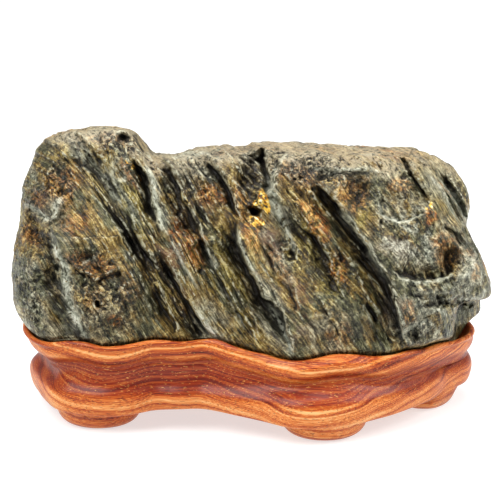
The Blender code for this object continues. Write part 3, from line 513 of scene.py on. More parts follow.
# The same for the back, as a viewer behind the rock would draw it, who sees the knob on the right.
BACK_CLEFTS = [
    ([(398, 144), (382, 180), (364, 214), (352, 252), (334, 290)], 6.0, 16, 9.0),
    ([(332, 144), (316, 186), (298, 226), (282, 262), (264, 300), (256, 340)], 4.0, 20, 13.0),
    ([(264, 144), (250, 184), (236, 218)], 3.0, 13, 8.0),
    ([(240, 220), (214, 266), (198, 300), (182, 346)], 4.0, 18, 11.0),
    ([(184, 148), (160, 204), (142, 240), (122, 294)], 4.0, 15, 8.0),
    ([(434, 200), (414, 250), (396, 300), (388, 334)], 4.0, 16, 8.0),
    ([(112, 206), (96, 252), (80, 304)], 3.0, 12, 6.0),
    ([(300, 250), (288, 290), (280, 330)], 2.0, 6, 4.0),
    ([(230, 150), (206, 200), (190, 232)], 2.0, 7, 4.0),
]
BACK_LEDGES = [
    ([(356, 150), (342, 186), (322, 226), (306, 262), (290, 310), (282, 344)], -30.0, 7.0, 3.0),
    ([(204, 150), (190, 190), (170, 230), (150, 276), (140, 330)], -30.0, 7.0, 3.0),
    ([(444, 170), (430, 214), (412, 256), (398, 300)], 26.0, 6.0, 3.0),
    ([(96, 172), (150, 180), (190, 174)], 20.0, 5.0, 3.0),
    ([(60, 250), (100, 268), (150, 262), (176, 240)], 26.0, 5.0, 4.0),
    ([(240, 306), (300, 316), (350, 300)], 22.0, 4.0, 3.0),
]
BACK_HOLLOWS = [
    ((398, 232), (14, 24), 25, 6.0),
    ((240, 200), (12, 22), 25, 5.0),
    ((118, 300), (20, 15), 0, 6.0),
    ((330, 322), (14, 12), 0, 4.0),
    ((64, 220), (12, 22), 10, 5.0),
    ((420, 180), (20, 14), 0, -3.0),
]
HALF_TURN = np.array([-1.0, -1.0, 1.0])  # a viewer behind the rock sees it as if it were turned about Z

# Finer clefts and pits than a solid can hold, in the same forms.
FINE_CUTS = [
    ([(26, 186), (40, 200), (58, 222)], 2.6, 1.0, 1.4), ([(52, 150), (66, 168), (80, 190)], 2.6, 1.0, 1.2),
    ([(100, 142), (114, 168), (134, 204)], 3, 1.0, 1.4),
    ([(110, 152), (126, 178), (140, 206)], 2.6, 1.0, 1.2),
    ([(112, 232), (130, 262), (150, 300), (162, 330)], 3, 1.0, 1.6),
    ([(128, 224), (146, 252), (160, 282)], 2.6, 1.0, 1.5),
    ([(182, 160), (193, 180), (205, 202), (216, 226)], 3, 1.0, 1.8),
    ([(194, 156), (206, 178), (218, 200), (228, 220)], 2.6, 1.0, 1.4),
    ([(170, 180), (182, 206), (194, 228)], 2.4, 1.0, 1.4),
    ([(208, 246), (212, 255), (215, 263)], 2.6, 1.1, 2.0),
    ([(158, 214), (166, 234), (180, 262), (196, 292)], 3, 1.1, 1.6),
    ([(220, 262), (236, 292), (250, 318), (264, 346)], 3, 1.1, 1.8),
    ([(228, 250), (240, 276), (252, 300), (262, 320)], 2.6, 1.0, 1.4),
    ([(284, 184), (297, 208), (312, 232)], 3, 1.0, 1.6),
    ([(272, 206), (284, 232), (298, 256)], 2.4, 1.0, 1.2),
    ([(262, 232), (276, 260), (294, 292), (306, 320)], 3, 1.0, 1.4),
    ([(300, 260), (316, 292), (332, 322), (344, 350)], 3, 1.0, 1.4),
    ([(330, 236), (346, 262), (362, 292), (376, 322)], 3, 1.0, 1.6),
    ([(366, 176), (380, 196), (396, 214)], 2.4, 1.0, 1.0),
    ([(444, 186), (458, 212), (474, 242), (488, 268)], 3, 1.0, 1.6),
    ([(436, 170), (450, 184), (462, 202), (472, 222)], 3, 1.0, 1.5),
    ([(464, 292), (440, 296), (418, 296), (401, 292)], 3, 1.0, 1.5),
    ([(450, 287), (424, 288), (402, 283)], 2.6, 1.0, 1.2),
    ([(436, 312), (420, 322), (408, 336)], 3, 1.0, 1.5),
    ([(388, 336), (391, 340), (394, 345)], 2.6, 1.2, 2.5),
    ([(403, 222), (398, 236), (402, 250)], 2.0, 1.0, 1.0), ([(62, 296), (78, 318), (96, 344)], 3, 1.0, 1.4),
    ([(84, 296), (100, 320), (116, 344)], 3, 1.0, 1.2),
    ([(16, 252), (24, 276), (34, 300), (48, 326)], 3, 1.0, 1.2),
]
# Edges painted pale, as lines of colour in the same form: partly worn pale by hands and water, partly a
# painted highlight where the edges would catch the light. The last number is not a depth but how pale the
# edge is.
WORN_AND_LIT_EDGES = [
    ([(54, 218), (50, 234), (53, 250), (60, 264), (64, 280), (66, 298), (72, 316), (83, 334), (98, 346)],
     2.0, 5.0, 1.3), ([(62, 196), (56, 208), (52, 222)], 3.0, 4.0, 1.0),
    ([(22, 200), (40, 212), (54, 224)], 2.5, 2.0, 1.0),
    ([(15, 292), (20, 318), (32, 335), (52, 343)], 2.5, 3, 0.8),
    ([(145, 160), (151, 178), (152, 196), (158, 216), (168, 240)], 1.4, 3.5, 1.0),
    ([(168, 232), (178, 254), (190, 274), (204, 298)], 1.6, 1.6, 0.7),
    ([(206, 244), (210, 256), (213, 270)], 1.2, 1.2, 0.9),
    ([(213, 248), (215, 260), (216, 272)], 1.0, 1.2, 0.7),
    ([(286, 150), (278, 164), (270, 184), (274, 206), (286, 232), (300, 262)], 2.5, 3.5, 0.9),
    ([(332, 198), (352, 224), (366, 246), (380, 268), (392, 290)], 1.2, 2.5, 0.7),
    ([(380, 190), (381, 215), (397, 224), (413, 219), (430, 210)], 1.4, 1.4, 0.8),
    ([(474, 236), (476, 254), (468, 272), (452, 282)], 2.5, 2.5, 0.7),
    ([(390, 270), (404, 280), (424, 282), (446, 278), (456, 272)], 1.6, 1.6, 0.9),
    ([(430, 168), (447, 190), (463, 212), (475, 236), (488, 268)], 1.4, 2.2, 0.9),
    ([(446, 182), (462, 206), (477, 232), (488, 256)], 1.4, 1.6, 1.1),
    ([(424, 170), (438, 186), (452, 208), (464, 232)], 1.2, 1.4, 0.9),
    ([(492, 284), (478, 298), (452, 300)], 1.6, 2, 0.8),
    ([(74, 134), (86, 150), (98, 168), (112, 190), (128, 216)], 1.8, 1.4, 0.8),
    ([(66, 136), (78, 154), (92, 176)], 1.2, 1.2, 0.5),
    ([(96, 152), (112, 178), (130, 206), (146, 232)], 1.4, 1.4, 0.6),
    ([(262, 300), (276, 317), (288, 344), (296, 362)], 1.4, 2.5, 0.8),
    ([(196, 308), (208, 328), (222, 350)], 1.4, 2.4, 0.8),
    ([(236, 222), (246, 256), (262, 286)], 1.2, 2.0, 0.6),
    ([(396, 300), (404, 328), (414, 352)], 1.4, 2.4, 0.6),
    ([(404, 342), (412, 326), (428, 322), (440, 334)], 1.6, 1.6, 0.7),
    ([(426, 308), (444, 312), (456, 322)], 1.6, 1.6, 0.6),
    ([(118, 170), (124, 180), (127, 172)], 1.6, 1.6, 0.9), ([(80, 266), (88, 262), (97, 255)], 1.2, 1.2, 1.0),
    ([(168, 158), (186, 152), (208, 152)], 2.0, 2.0, 0.7),
    ([(300, 168), (330, 172), (366, 168), (392, 176)], 2, 2, 0.7),
    ([(36, 150), (30, 168), (40, 186)], 2.0, 1.6, 0.5), ([(212, 272), (228, 300), (246, 334)], 1.2, 1.4, 0.6),
]
FINE_PITS = [
    ((124, 138), (5, 3.5), 40, 2.2), ((121, 149), (3, 3), 0, 1.6), ((122, 175), (4, 6), -30, 1.6),
    ((98, 306), (4, 5), 0, 1.6), ((22, 291), (4, 5), 0, 1.4), ((201, 272), (4, 4), 0, 1.8),
    ((298, 177), (4, 3), 0, 2.4), ((321, 180), (4, 3), 0, 2.0), ((254, 211), (3, 6), 35, 3.0),
    ((288, 252), (4, 3), 0, 1.6), ((294, 259), (3, 3), 0, 1.4), ((462, 200), (3, 4), -20, 1.4),
]
# Crumbled ground: (middle, half sizes, turn in degrees, how deep its pits are).
CRUMBLED = [
    ((60, 182), (16, 20), 20, 1.0), ((36, 226), (16, 18), 0, 0.9), ((122, 144), (18, 12), 20, 1.0),
    ((318, 170), (28, 18), 8, 1.0), ((404, 184), (14, 12), 0, 0.9), ((98, 294), (34, 20), 10, 1.0),
    ((28, 300), (16, 32), 0, 1.0), ((166, 182), (7, 22), -20, 0.7), ((290, 256), (14, 20), -25, 0.9),
    ((308, 214), (10, 26), -28, 0.7), ((336, 262), (12, 24), -28, 0.8), ((90, 262), (28, 13), 10, 0.8),
    ((412, 334), (22, 14), 0, 0.9), ((182, 222), (12, 22), -28, 0.7), ((455, 190), (12, 24), -20, 0.6),
    ((360, 146), (90, 9), 2, 0.65), ((225, 152), (60, 6), 0, 0.4), ((112, 322), (24, 22), 0, 0.7),
    ((84, 318), (14, 22), -20, 0.7), ((214, 192), (16, 12), 0, 0.6), ((336, 330), (20, 20), 0, 0.6),
    ((208, 168), (16, 7), 10, 0.8), ((370, 210), (18, 26), -20, 0.5), ((470, 250), (6, 26), -20, 0.5),
]
# Where the leaves hardly show, because the surface is worn smooth or has crumbled: the same, with how much.
SMOOTHED = [
    ((410, 236), (32, 30), 0, 0.95), ((30, 290), (22, 44), 0, 0.9), ((44, 200), (26, 44), 10, 0.6),
    ((90, 266), (28, 14), 10, 0.9), ((104, 306), (28, 30), 0, 0.7), ((318, 172), (28, 18), 8, 0.95),
    ((358, 190), (20, 22), 0, 0.95), ((400, 188), (30, 26), 0, 0.8), ((440, 272), (44, 22), 0, 0.8),
    ((122, 146), (24, 18), 20, 0.8), ((212, 190), (22, 24), 0, 0.7), ((172, 260), (12, 14), 0, 0.8),
    ((250, 178), (14, 30), 0, 0.6), ((360, 146), (100, 10), 2, 0.7), ((440, 325), (40, 24), 0, 0.6),
    ((216, 242), (14, 12), 0, 0.8), ((300, 250), (16, 26), -25, 0.4), ((458, 180), (18, 26), -20, 0.7),
    ((340, 300), (22, 30), -25, 0.4), ((60, 145), (40, 14), -10, 0.5), ((280, 165), (10, 20), 20, 0.6),
]
print("strokes:", len(CLEFTS + BACK_CLEFTS), "clefts,", len(LEDGES + BACK_LEDGES), "ledges,",
      len(HOLLOWS + BACK_HOLLOWS), "hollows,", len(FINE_CUTS), "fine cuts,", len(WORN_AND_LIT_EDGES), "worn edges")

# %% Draw the strokes onto a sheet
STROKE_STEP = 0.5  # the sheets have two numbers to a square each way
STROKE_TAPER = 0.25  # a cleft starts and ends over this share of its path,
STROKE_TIP = 0.3  # and there it is this much as wide
LEDGE_TAPER = 0.15  # a ledge starts and ends over this share of its path


def window(line, places, margin):
    """The slice of a rising line of numbers that lies within a margin of the given places."""
    low, high = np.searchsorted(line, [min(places) - margin, max(places) + margin])
    return slice(low, high)


def oval(u, v, middle, half_sizes, turn):
    """Distance from an oval's middle, with 1 at its edge, after turning by an angle in degrees."""
    cos, sin = math.cos(math.radians(turn)), math.sin(math.radians(turn))
    along = ((u - middle[0]) * cos + (v - middle[1]) * sin) / half_sizes[0]
    aside = ((v - middle[1]) * cos - (u - middle[0]) * sin) / half_sizes[1]
    return np.hypot(along, aside)


def draw_strokes(clefts, ledges, hollows, step):
    """Relief in metres. A cleft is depth / (1 + (distance / slope)^2) on its slope's side and
    depth / (1 + (distance / wall)^4) on its wall's, narrower towards its ends. A ledge falls at its path and
    rises again as exp(-distance / reach), and a hollow is an S-curve of an oval."""
    line = np.arange(SKETCH_REACH[0], SKETCH_REACH[1] + step, step)
    relief = np.zeros((len(line), len(line)))

    def patch_around(path, margin):
        columns = window(line, [u for u, _ in path], margin)
        rows = window(line, [v for _, v in path], margin)
        return (rows, columns), *np.meshgrid(line[columns], line[rows])

    for path, slope, wall, depth in clefts:
        patch, u, v = patch_around(path, 4 * max(slope, wall))
        gap, side, share = nearest_on_path(u, v, path)
        taper = ease(share / STROKE_TAPER) * ease((1 - share) / STROKE_TAPER)
        narrow = STROKE_TIP + (1 - STROKE_TIP) * taper
        sloping = 1 / (1 + (gap / (slope * narrow)) ** 2)
        rising = 1 / (1 + (gap / (wall * narrow)) ** 4)
        relief[patch] += depth * taper * np.where(side > 0, sloping, rising)
    for path, reach, drop, edge in ledges:
        patch, u, v = patch_around(path, 3 * abs(reach))
        gap, side, share = nearest_on_path(u, v, path)
        taper = ease(share / LEDGE_TAPER) * ease((1 - share) / LEDGE_TAPER)
        off = gap * side * np.sign(reach)
        relief[patch] += drop * taper * np.exp(-gap / abs(reach)) * ease(0.5 - 0.5 * off / edge)
    for middle, half_sizes, turn, depth in hollows:
        patch, u, v = patch_around([middle], 1.3 * max(half_sizes))
        relief[patch] += depth * ease(1.25 - oval(u, v, middle, half_sizes, turn))
    return relief * MM, line[0], step


front_relief = draw_strokes(CLEFTS, LEDGES, HOLLOWS, STROKE_STEP)
back_relief = draw_strokes(BACK_CLEFTS, BACK_LEDGES, BACK_HOLLOWS, STROKE_STEP)
fine_relief = draw_strokes(FINE_CUTS, [], FINE_PITS, STROKE_STEP)
pale_and_lit_lines = draw_strokes(WORN_AND_LIT_EDGES, [], [], STROKE_STEP)
print("deepest stroke in mm:", round(float(front_relief[0].max() / MM), 1))

# %% [markdown]
# ## The grain
# The stone is foliated: it is built of thin leaves that dip to the right at about 62 degrees, and weather
# has worn the soft ones back. Across the leaves the surface changes every millimetre or two, but along
# them it hardly changes. So the noise is read in the leaves' own directions and stretched many times
# along them. Each leaf starts proud and sinks to where the next one starts, which gives the shingled look
# at 19 and 7.5 mm. The finer relief is noise at real sizes: flakes 10 and 4.5 mm wide, ribs of 3.2 and
# 1.6 mm, knobs of 6, 3 and 1.6 mm on crumbled ground, pits of 4.2 and 2.1 mm, and hairline cracks.

# %% Leaves, lumps and soft-edged ovals
WORN_SHARE = 0.65  # the share of the leaves' height that is worn down where the rock is rounded off
GRAIN_TURN = math.radians(24)
GRAIN_ACROSS = np.array([
    math.sin(GRAIN_DIP) * math.cos(GRAIN_TURN),
    math.sin(GRAIN_DIP) * math.sin(GRAIN_TURN),
    math.cos(GRAIN_DIP),
])


def grain_places(points):
    """Each point in the grain's own directions, bent a little: across the leaves, down them, and along."""
    bend = 0.010 * lattice_noise(points / 0.070, 3)
    down = np.array([math.cos(GRAIN_DIP), 0.0, -math.sin(GRAIN_DIP)])
    strike = np.cross(GRAIN_ACROSS, down)
    return np.stack([points @ GRAIN_ACROSS + bend, points @ down, points @ strike], axis=-1)


def leaves(grain, thickness, seed):
    """A saw wave across the grain, with noise that bends its teeth and makes some bolder than others. A
    tooth rises at once and sinks to where the next one rises."""
    phase = grain[..., 0] / thickness + 0.9 * lattice_noise(grain / np.array([0.030, 0.065, 0.065]), seed)
    part = phase - np.floor(phase)
    boldness = 0.55 + 0.45 * lattice_noise(grain / np.array([0.012, 0.045, 0.045]), seed + 1)
    return boldness * ((1 - part) * ease(part / 0.15) - 0.45)


def rock_swell(points, worn):
    """How far the rock stands out of its plain form, in metres, as in the solid: lumps, and bold leaves that
    are worn down where the rock is rounded off."""
    grain = grain_places(points)
    lumps = 1.7 * lattice_noise(points / 0.034, 11) + 0.9 * lattice_noise(points / 0.015, 12)
    steps = 2.6 * leaves(grain, 0.019, 13) + 1.4 * leaves(grain, 0.0075, 15)
    return MM * (lumps + steps * (1 - WORN_SHARE * worn) - 0.3)


def strongest(ovals, across, down):
    """The strongest of the soft-edged ovals around each place on the sketch, from 0 to 1: each is its
    strength times an S-curve, which falls from two thirds of the way to its edge to one and a half times."""
    most = np.zeros(across.shape)
    for middle, half_sizes, turn, strength in ovals:
        most = np.maximum(most, strength * ease(1.8 - 1.2 * oval(across, down, middle, half_sizes, turn)))
    return most


# %% Carve the rock
LOWEST_SWELL, FULL_SWELL = 0.001, 0.012  # the rock swells from this height above its rim, fully this much on
LOWEST_CUT, FULL_CUT = -0.008, 0.010  # and it is cut into from here, fully this much higher
EDGE_ON, FACING = 0.08, 0.43  # a stroke is gone where the rock is this much edge-on, and whole past this
WORN_EDGE_ON, WORN_FACING = 0.10, 0.55  # the same for the leaves, facing the viewer or away from them


# How long the noise is that tears the strokes' edges, in metres: across, down and along the leaves, or the
# same every way. Strands make the cuts deeper and shallower from leaf to leaf.
STRANDS, FRAY_LEAVES = np.array([0.0022, 0.020, 0.020]), np.array([0.0016, 0.016, 0.016])
FRAY_LUMPS, DRIFT_LUMPS, DRIFT_GRIT = 0.006, 0.005, 0.0019
CRUMBLE_PATCH, COMBED_PATCH = 0.022, 0.026  # crumbled and combed ground come in patches of this size
# The finest relief: pits, cracks and the waves in them, in metres. Then (height in mm, size in mm, seed) of
# flakes and ribs, which follow the leaves, and of knobs, which don't.
LARGE_PIT, SMALL_PIT, PIT_LEVEL = 0.0042, 0.0021, 0.30
CRACK, CRACK_HALF, CRACK_PATCH = np.array([0.006, 0.045, 0.045]), 0.05, 0.016
WAVE, WAVE_LENGTH = np.array([0.0020, 0, 0]), 0.008
FLAKES = [(0.75, (10, 40, 40), 51), (0.45, (4.5, 20, 20), 52)]
RIBS = [(1.4, (3.2, 15, 15), 36), (0.9, (1.6, 7, 7), 38)]
KNOBS = [(1.0, (6, 6, 6), 42), (0.8, (3, 3, 3), 43), (0.5, (1.6, 1.6, 1.6), 45)]


def flat_topped(noise):
    """Noise made into plateaus with steep edges between them: the hyperbolic tangent of 5 times the noise."""
    return np.tanh(5 * noise)


def carve(plain, outward):
    """Adds the relief: lumps and leaves along the outward direction, then strokes along each viewer's line
    of sight, so that they land where they were drawn, then what is too fine for the solid: flakes, ribs and
    knobs, less pits where noise is above a level, less cracks, exp(-(noise / half width)^2). Returns the
    points, how crumbled each one is, how much its leaves show, and how pale an edge is painted, partly for
    wear and partly as a painted highlight."""
    above_rim = plain[:, 2] - rim_height(plain[:, 0])
    clear_of_seat = ease((above_rim - LOWEST_SWELL) / FULL_SWELL)
    sight = (plain - VIEWER) / np.linalg.norm(plain - VIEWER, axis=1)[:, None]
    turned = np.abs((outward * sight).sum(axis=1))
    worn = 1 - ease((turned - WORN_EDGE_ON) / (WORN_FACING - WORN_EDGE_ON))
    points = plain + outward * (rock_swell(plain, worn) * clear_of_seat)[:, None]
    grain = grain_places(points)
    strands = lattice_noise(grain / STRANDS, 25)
    fray = 1.8 * lattice_noise(plain / FRAY_LUMPS, 21) + 1.5 * lattice_noise(grain / FRAY_LEAVES, 22)
    drift = 1.8 * lattice_noise(plain / DRIFT_LUMPS, 23) + 1.0 * lattice_noise(plain / DRIFT_GRIT, 24)
    crumble = ease(2.2 * lattice_noise(plain / CRUMBLE_PATCH, 31) - 0.9)
    combed = ease(0.75 + 1.2 * lattice_noise(plain / COMBED_PATCH, 41)) * (1 - 0.8 * crumble)
    for sheet, turn in ((front_relief, np.ones(3)), (back_relief, HALF_TURN)):
        sight = points * turn - VIEWER
        sight /= np.linalg.norm(sight, axis=1)[:, None]
        facing = ease((-(outward * turn * sight).sum(axis=1) - EDGE_ON) / (FACING - EDGE_ON))
        across, down, _ = on_sketch(points * turn)
        across, down = across + fray, down + drift
        push = read_sheet(sheet, across, down) * facing
        if turn is not HALF_TURN:
            push += read_sheet(fine_relief, across, down) * facing
            torn = (across + 3 * fray, down + 3 * drift)
            crumble = crumble * (1 - facing) + strongest(CRUMBLED, *torn) * facing
            combed = combed * (1 - facing) + (1 - strongest(SMOOTHED, *torn)) * facing
            # pale edges: partly wear, partly a painted highlight
            pale_and_lit_edge = read_sheet(pale_and_lit_lines, across, down) / MM * np.minimum(1, 6 * facing)
        cut_share = ease((above_rim - LOWEST_CUT) / FULL_CUT) * (1 + 0.35 * strands)
        push *= np.where(push > 0, cut_share, clear_of_seat)
        points = points + sight * turn * push[:, None]
    large, small = lattice_noise(plain / LARGE_PIT, 32), lattice_noise(plain / SMALL_PIT, 33)
    pits = (1.3 * ease(3.5 * (large - PIT_LEVEL)) + 0.8 * ease(3.5 * (small - PIT_LEVEL))) * crumble
    crack = np.exp(-(lattice_noise(grain / CRACK, 34) / CRACK_HALF) ** 2)
    crack *= ease(1.5 * lattice_noise(plain / CRACK_PATCH, 35) + 0.2) * (0.3 + 0.7 * combed)
    wavy = grain + WAVE * lattice_noise(plain / WAVE_LENGTH, 44)[:, None]
    flakes, ribs, knobs = (
        sum(tall * form(lattice_noise(where / np.array(sizes) / MM, seed)) for tall, sizes, seed in layers)
        for form, where, layers in [(flat_topped, wavy, FLAKES), (np.abs, wavy, RIBS), (np.abs, plain, KNOBS)]
    )
    fine = (flakes + ribs) * combed + (0.5 * flakes + knobs) * (1.1 - combed)
    fine = MM * (fine * (1 - 0.5 * worn) - 1.3 * pits - 1.1 * crack - 0.5)
    return points + outward * (fine * clear_of_seat)[:, None], crumble, combed, pale_and_lit_edge


def sinking(height, quads, rounds):
    """How far each point lies below its surroundings: its height averaged with its neighbours' many times
    over, less its own height. It is positive in cracks and pits and negative on edges."""
    edges = np.concatenate([quads[:, [0, 1]], quads[:, [1, 2]]])
    count = np.bincount(edges.ravel(), minlength=len(height))
    mean = height
    for _ in range(rounds):
        total = np.bincount(edges[:, 0], mean[edges[:, 1]], len(height))
        total += np.bincount(edges[:, 1], mean[edges[:, 0]], len(height))
        mean = 0.4 * mean + 0.6 * total / count
    return mean - height


CAVITY_ROUNDS, DEPTH_ROUNDS = 4, 90  # cracks show after few rounds of averaging, and clefts after many
carved, crumble, combed, pale_and_lit_edge = carve(plain, outward)
height = ((carved - plain) * outward).sum(axis=1) / MM
cavity = sinking(height, rock_quads, CAVITY_ROUNDS)
depth = sinking(height, rock_quads, DEPTH_ROUNDS)
print("carved rock in mm:", np.round(carved.min(0) / MM, 1), np.round(carved.max(0) / MM, 1))
for name, sunk in [("cavity", cavity), ("depth", depth)]:
    print(name, "in mm, lowest, middle and highest:", np.round(np.percentile(sunk, [1, 50, 99]), 2))

# %% [markdown]
# ## Where the stone is stained, and where light and shade are painted on
# River stones of this kind carry iron: it rusts in the crumbled places, and runs out as ochre along the
# leaves. Other patches are mossy green, lilac, or worn to a pale greenish grey, and a few clefts hold bright
# yellow crystals. Light and shade are painted here too: the flat top is painted lighter, as if lit from
# above, and the clefts and troughs on the front are painted dark, as their shade. A photograph could be
# painted onto the mesh, but ovals with edges torn by noise keep the colours a matter of design, and they
# follow the surface from every side. Each kind of stain becomes one number on each point of the mesh.

# %% Stains, painted light and painted shade on the sketch: (middle, half sizes, turn in degrees, strength)
STAIN_AND_PAINTED_LIGHT_OVALS = {
    "rust": [
        ((60, 182), (17, 20), 25, 0.6), ((74, 222), (12, 12), 0, 0.6), ((90, 264), (27, 11), 15, 0.75),
        ((180, 232), (9, 17), -30, 0.9), ((192, 248), (10, 19), -30, 1.0), ((313, 218), (10, 22), -28, 1.0),
        ((354, 192), (15, 20), 0, 0.6), ((340, 266), (9, 14), -25, 0.9), ((340, 330), (12, 14), 0, 0.4),
        ((216, 196), (18, 10), 10, 0.9), ((242, 205), (9, 22), -15, 0.6), ((250, 232), (8, 18), -15, 0.7),
        ((134, 180), (5, 22), -28, 0.7), ((300, 176), (24, 12), 8, 0.5), ((447, 254), (12, 16), -20, 0.6),
        ((30, 232), (9, 9), 0, 0.7), ((116, 324), (6, 6), 0, 0.9), ((90, 300), (13, 16), 0, 0.4),
        ((36, 200), (8, 11), 0, 0.6), ((432, 218), (7, 4), 0, 0.9), ((402, 184), (11, 9), 0, 0.6),
        ((178, 300), (8, 18), -25, 0.4), ((128, 292), (10, 16), 0, 0.35), ((276, 262), (7, 20), -25, 0.5),
        ((470, 262), (4, 14), -15, 0.5), ((408, 312), (7, 8), 0, 0.5), ((300, 146), (40, 5), 0, 0.4),
        ((390, 150), (34, 6), 4, 0.45), ((236, 146), (40, 4), 0, 0.35), ((106, 140), (24, 5), 0, 0.3),
    ],
    "olive": [
        ((136, 200), (16, 44), -32, 0.8), ((100, 170), (12, 44), -35, 0.5), ((225, 280), (12, 44), -30, 0.7),
        ((320, 256), (12, 46), -28, 0.8), ((364, 190), (14, 26), -20, 0.7), ((180, 296), (14, 40), -28, 0.5),
        ((228, 244), (20, 12), 20, 0.7), ((356, 214), (13, 15), 0, 0.8), ((430, 180), (40, 24), 20, 0.4),
        ((70, 150), (30, 12), -10, 0.3), ((290, 242), (10, 30), -28, 0.6), ((340, 300), (12, 30), -25, 0.5),
    ],
    # The four long flat ovals along the top edge, at rows 132 to 150, paint the flat top lighter as if lit
    # from above: painted light. The others are pale patches of the stone.
    "pale": [
        ((412, 236), (34, 28), 0, 0.9), ((104, 134), (26, 8), 0, 0.8), ((124, 170), (9, 12), -25, 0.8),
        ((100, 286), (28, 12), 8, 0.2), ((105, 325), (30, 22), 0, 0.35), ((30, 280), (18, 18), 0, 0.6),
        ((30, 316), (20, 16), 0, 0.5), ((440, 300), (46, 16), -5, 0.8), ((296, 170), (14, 10), 0, 0.9),
        ((205, 170), (22, 9), 10, 0.7), ((278, 206), (10, 26), -28, 0.6), ((275, 256), (9, 34), -28, 0.6),
        ((350, 172), (28, 5), 5, 0.9), ((395, 190), (26, 20), 0, 0.5), ((476, 240), (8, 34), -22, 0.7),
        ((270, 312), (14, 34), -24, 0.6), ((210, 330), (18, 26), -24, 0.6), ((330, 330), (30, 24), -20, 0.5),
        ((420, 210), (18, 9), 10, 0.7), ((150, 172), (4, 20), -18, 0.9), ((160, 210), (7, 24), -22, 0.6),
        ((462, 290), (22, 12), 0, 0.8), ((440, 332), (24, 18), 0, 0.5), ((60, 222), (9, 24), -25, 0.5),
        ((225, 150), (80, 10), 0, 1.0), ((350, 143), (90, 8), 2, 0.9), ((56, 332), (20, 10), 0, 0.5),
        ((80, 132), (40, 6), 0, 0.8), ((468, 262), (12, 30), -25, 0.8), ((424, 320), (34, 24), 0, 0.7),
        ((440, 180), (22, 16), 30, 0.5), ((316, 330), (30, 22), -20, 0.4),
    ],
    "lilac": [
        ((172, 262), (12, 16), -25, 0.9), ((160, 240), (6, 18), -25, 0.6), ((190, 300), (9, 16), -25, 0.6),
        ((276, 240), (9, 16), -28, 0.8), ((300, 300), (10, 22), -25, 0.7), ((186, 214), (16, 9), 0, 0.4),
        ((34, 196), (10, 9), 0, 0.6), ((208, 206), (18, 10), 0, 0.5), ((390, 310), (10, 14), 0, 0.5),
        ((400, 246), (18, 12), 0, 0.35), ((300, 330), (14, 16), -20, 0.4),
    ],
    # The dark ovals lie along clefts and troughs, under overhangs and along the rock's foot: painted shade.
    "dark_and_painted_shade": [
        ((250, 178), (12, 30), 0, 0.9), ((188, 200), (12, 40), -27, 0.9), ((36, 226), (14, 17), 0, 0.7),
        ((176, 300), (9, 50), -28, 0.9), ((218, 178), (12, 14), -20, 0.6), ((238, 206), (8, 22), -20, 0.6),
        ((47, 246), (5, 20), -5, 1.0), ((57, 290), (6, 30), -20, 1.0), ((76, 326), (5, 22), -30, 1.0),
        ((93, 178), (7, 36), -32, 1.0), ((121, 224), (7, 34), -30, 1.0), ((148, 270), (7, 40), -30, 1.0),
        ((452, 262), (9, 14), -20, 0.7),
        ((346, 232), (7, 48), -32, 0.9), ((384, 292), (9, 40), -18, 0.9), ((302, 176), (26, 14), 8, 0.5),
        ((411, 334), (14, 11), 0, 0.6), ((142, 262), (9, 40), -30, 0.8), ((96, 166), (6, 34), -28, 0.6),
        ((243, 256), (6, 38), -16, 0.8), ((308, 250), (9, 44), -28, 0.75), ((276, 322), (8, 34), -26, 0.6),
        ((140, 184), (5, 26), -18, 0.8), ((228, 190), (4, 32), -28, 0.7), ((208, 256), (6, 18), -24, 0.7),
        ((420, 272), (26, 4), 0, 0.7), ((450, 302), (26, 4), -4, 0.6), ((30, 344), (40, 6), 6, 0.5),
    ],
    "gold": [
        ((263, 200), (4, 7), -15, 1.0), ((257, 221), (6, 3.5), 10, 0.7), ((131, 162), (2.5, 6), -25, 0.7),
        ((257, 206), (3, 3), 0, 0.7), ((432, 205), (3, 2), 0, 0.5), ((140, 176), (2, 6), -20, 0.4),
    ],
}
# On the other sides, noise over this length, in metres, stains where it is above this level.
WILD = {
    "rust": (0.020, 0.35), "olive": (0.026, 0.10), "pale": (0.030, 0.20), "lilac": (0.024, 0.50),
    "dark_and_painted_shade": (0.022, 0.50),
}


def paint_amount(points, outward, kind, seed):
    """How much of its kind each point takes, 0 to 1, for the stone's stained colours and for painted light
    and
    shade: on the front the strongest oval there, with its edge torn by noise, and on the other sides the part
    of a noise that is above a level."""
    sight = points - VIEWER
    sight /= np.linalg.norm(sight, axis=1)[:, None]
    front = ease((-(outward * sight).sum(axis=1) - 0.05) / 0.25)
    across, down, _ = on_sketch(points)
    for size, squares, more in [(0.008, 5.0, 0), (0.0025, 2.0, 1)]:
        across = across + squares * lattice_noise(points / size, seed + more)
    for size, squares, more in [(0.009, 7.0, 2), (0.0025, 2.0, 3)]:
        down = down + squares * lattice_noise(points / size, seed + more)
    most = strongest(STAIN_AND_PAINTED_LIGHT_OVALS[kind], across, down)
    if kind not in WILD:
        return most * front
    size, level = WILD[kind]
    wild = lattice_noise(points / size, seed + 4) + 0.5 * lattice_noise(points / size * 2.7, seed + 5)
    return most * front + 0.8 * ease((wild - level) / 0.5) * (1 - front)


TOP_LIGHT_FROM, TOP_LIGHT_FADE = 0.110, 0.020  # only the flat top is painted lighter, as if lit from above, from this height up
stains_and_painted_light = {kind: paint_amount(plain, outward, kind, 60 + 10 * k) for k, kind in enumerate(STAIN_AND_PAINTED_LIGHT_OVALS)}
# The flat top is painted lighter where it faces up: painted top light.
upward = ease((outward[:, 2] + 0.2 * lattice_noise(plain / 0.010, 57) - 0.45) / 0.35)
stains_and_painted_light["painted_top_light"] = upward * ease((plain[:, 2] - TOP_LIGHT_FROM) / TOP_LIGHT_FADE)
print("stained share of the stone:", {kind: round(float(s.mean()), 2) for kind, s in stains_and_painted_light.items()})

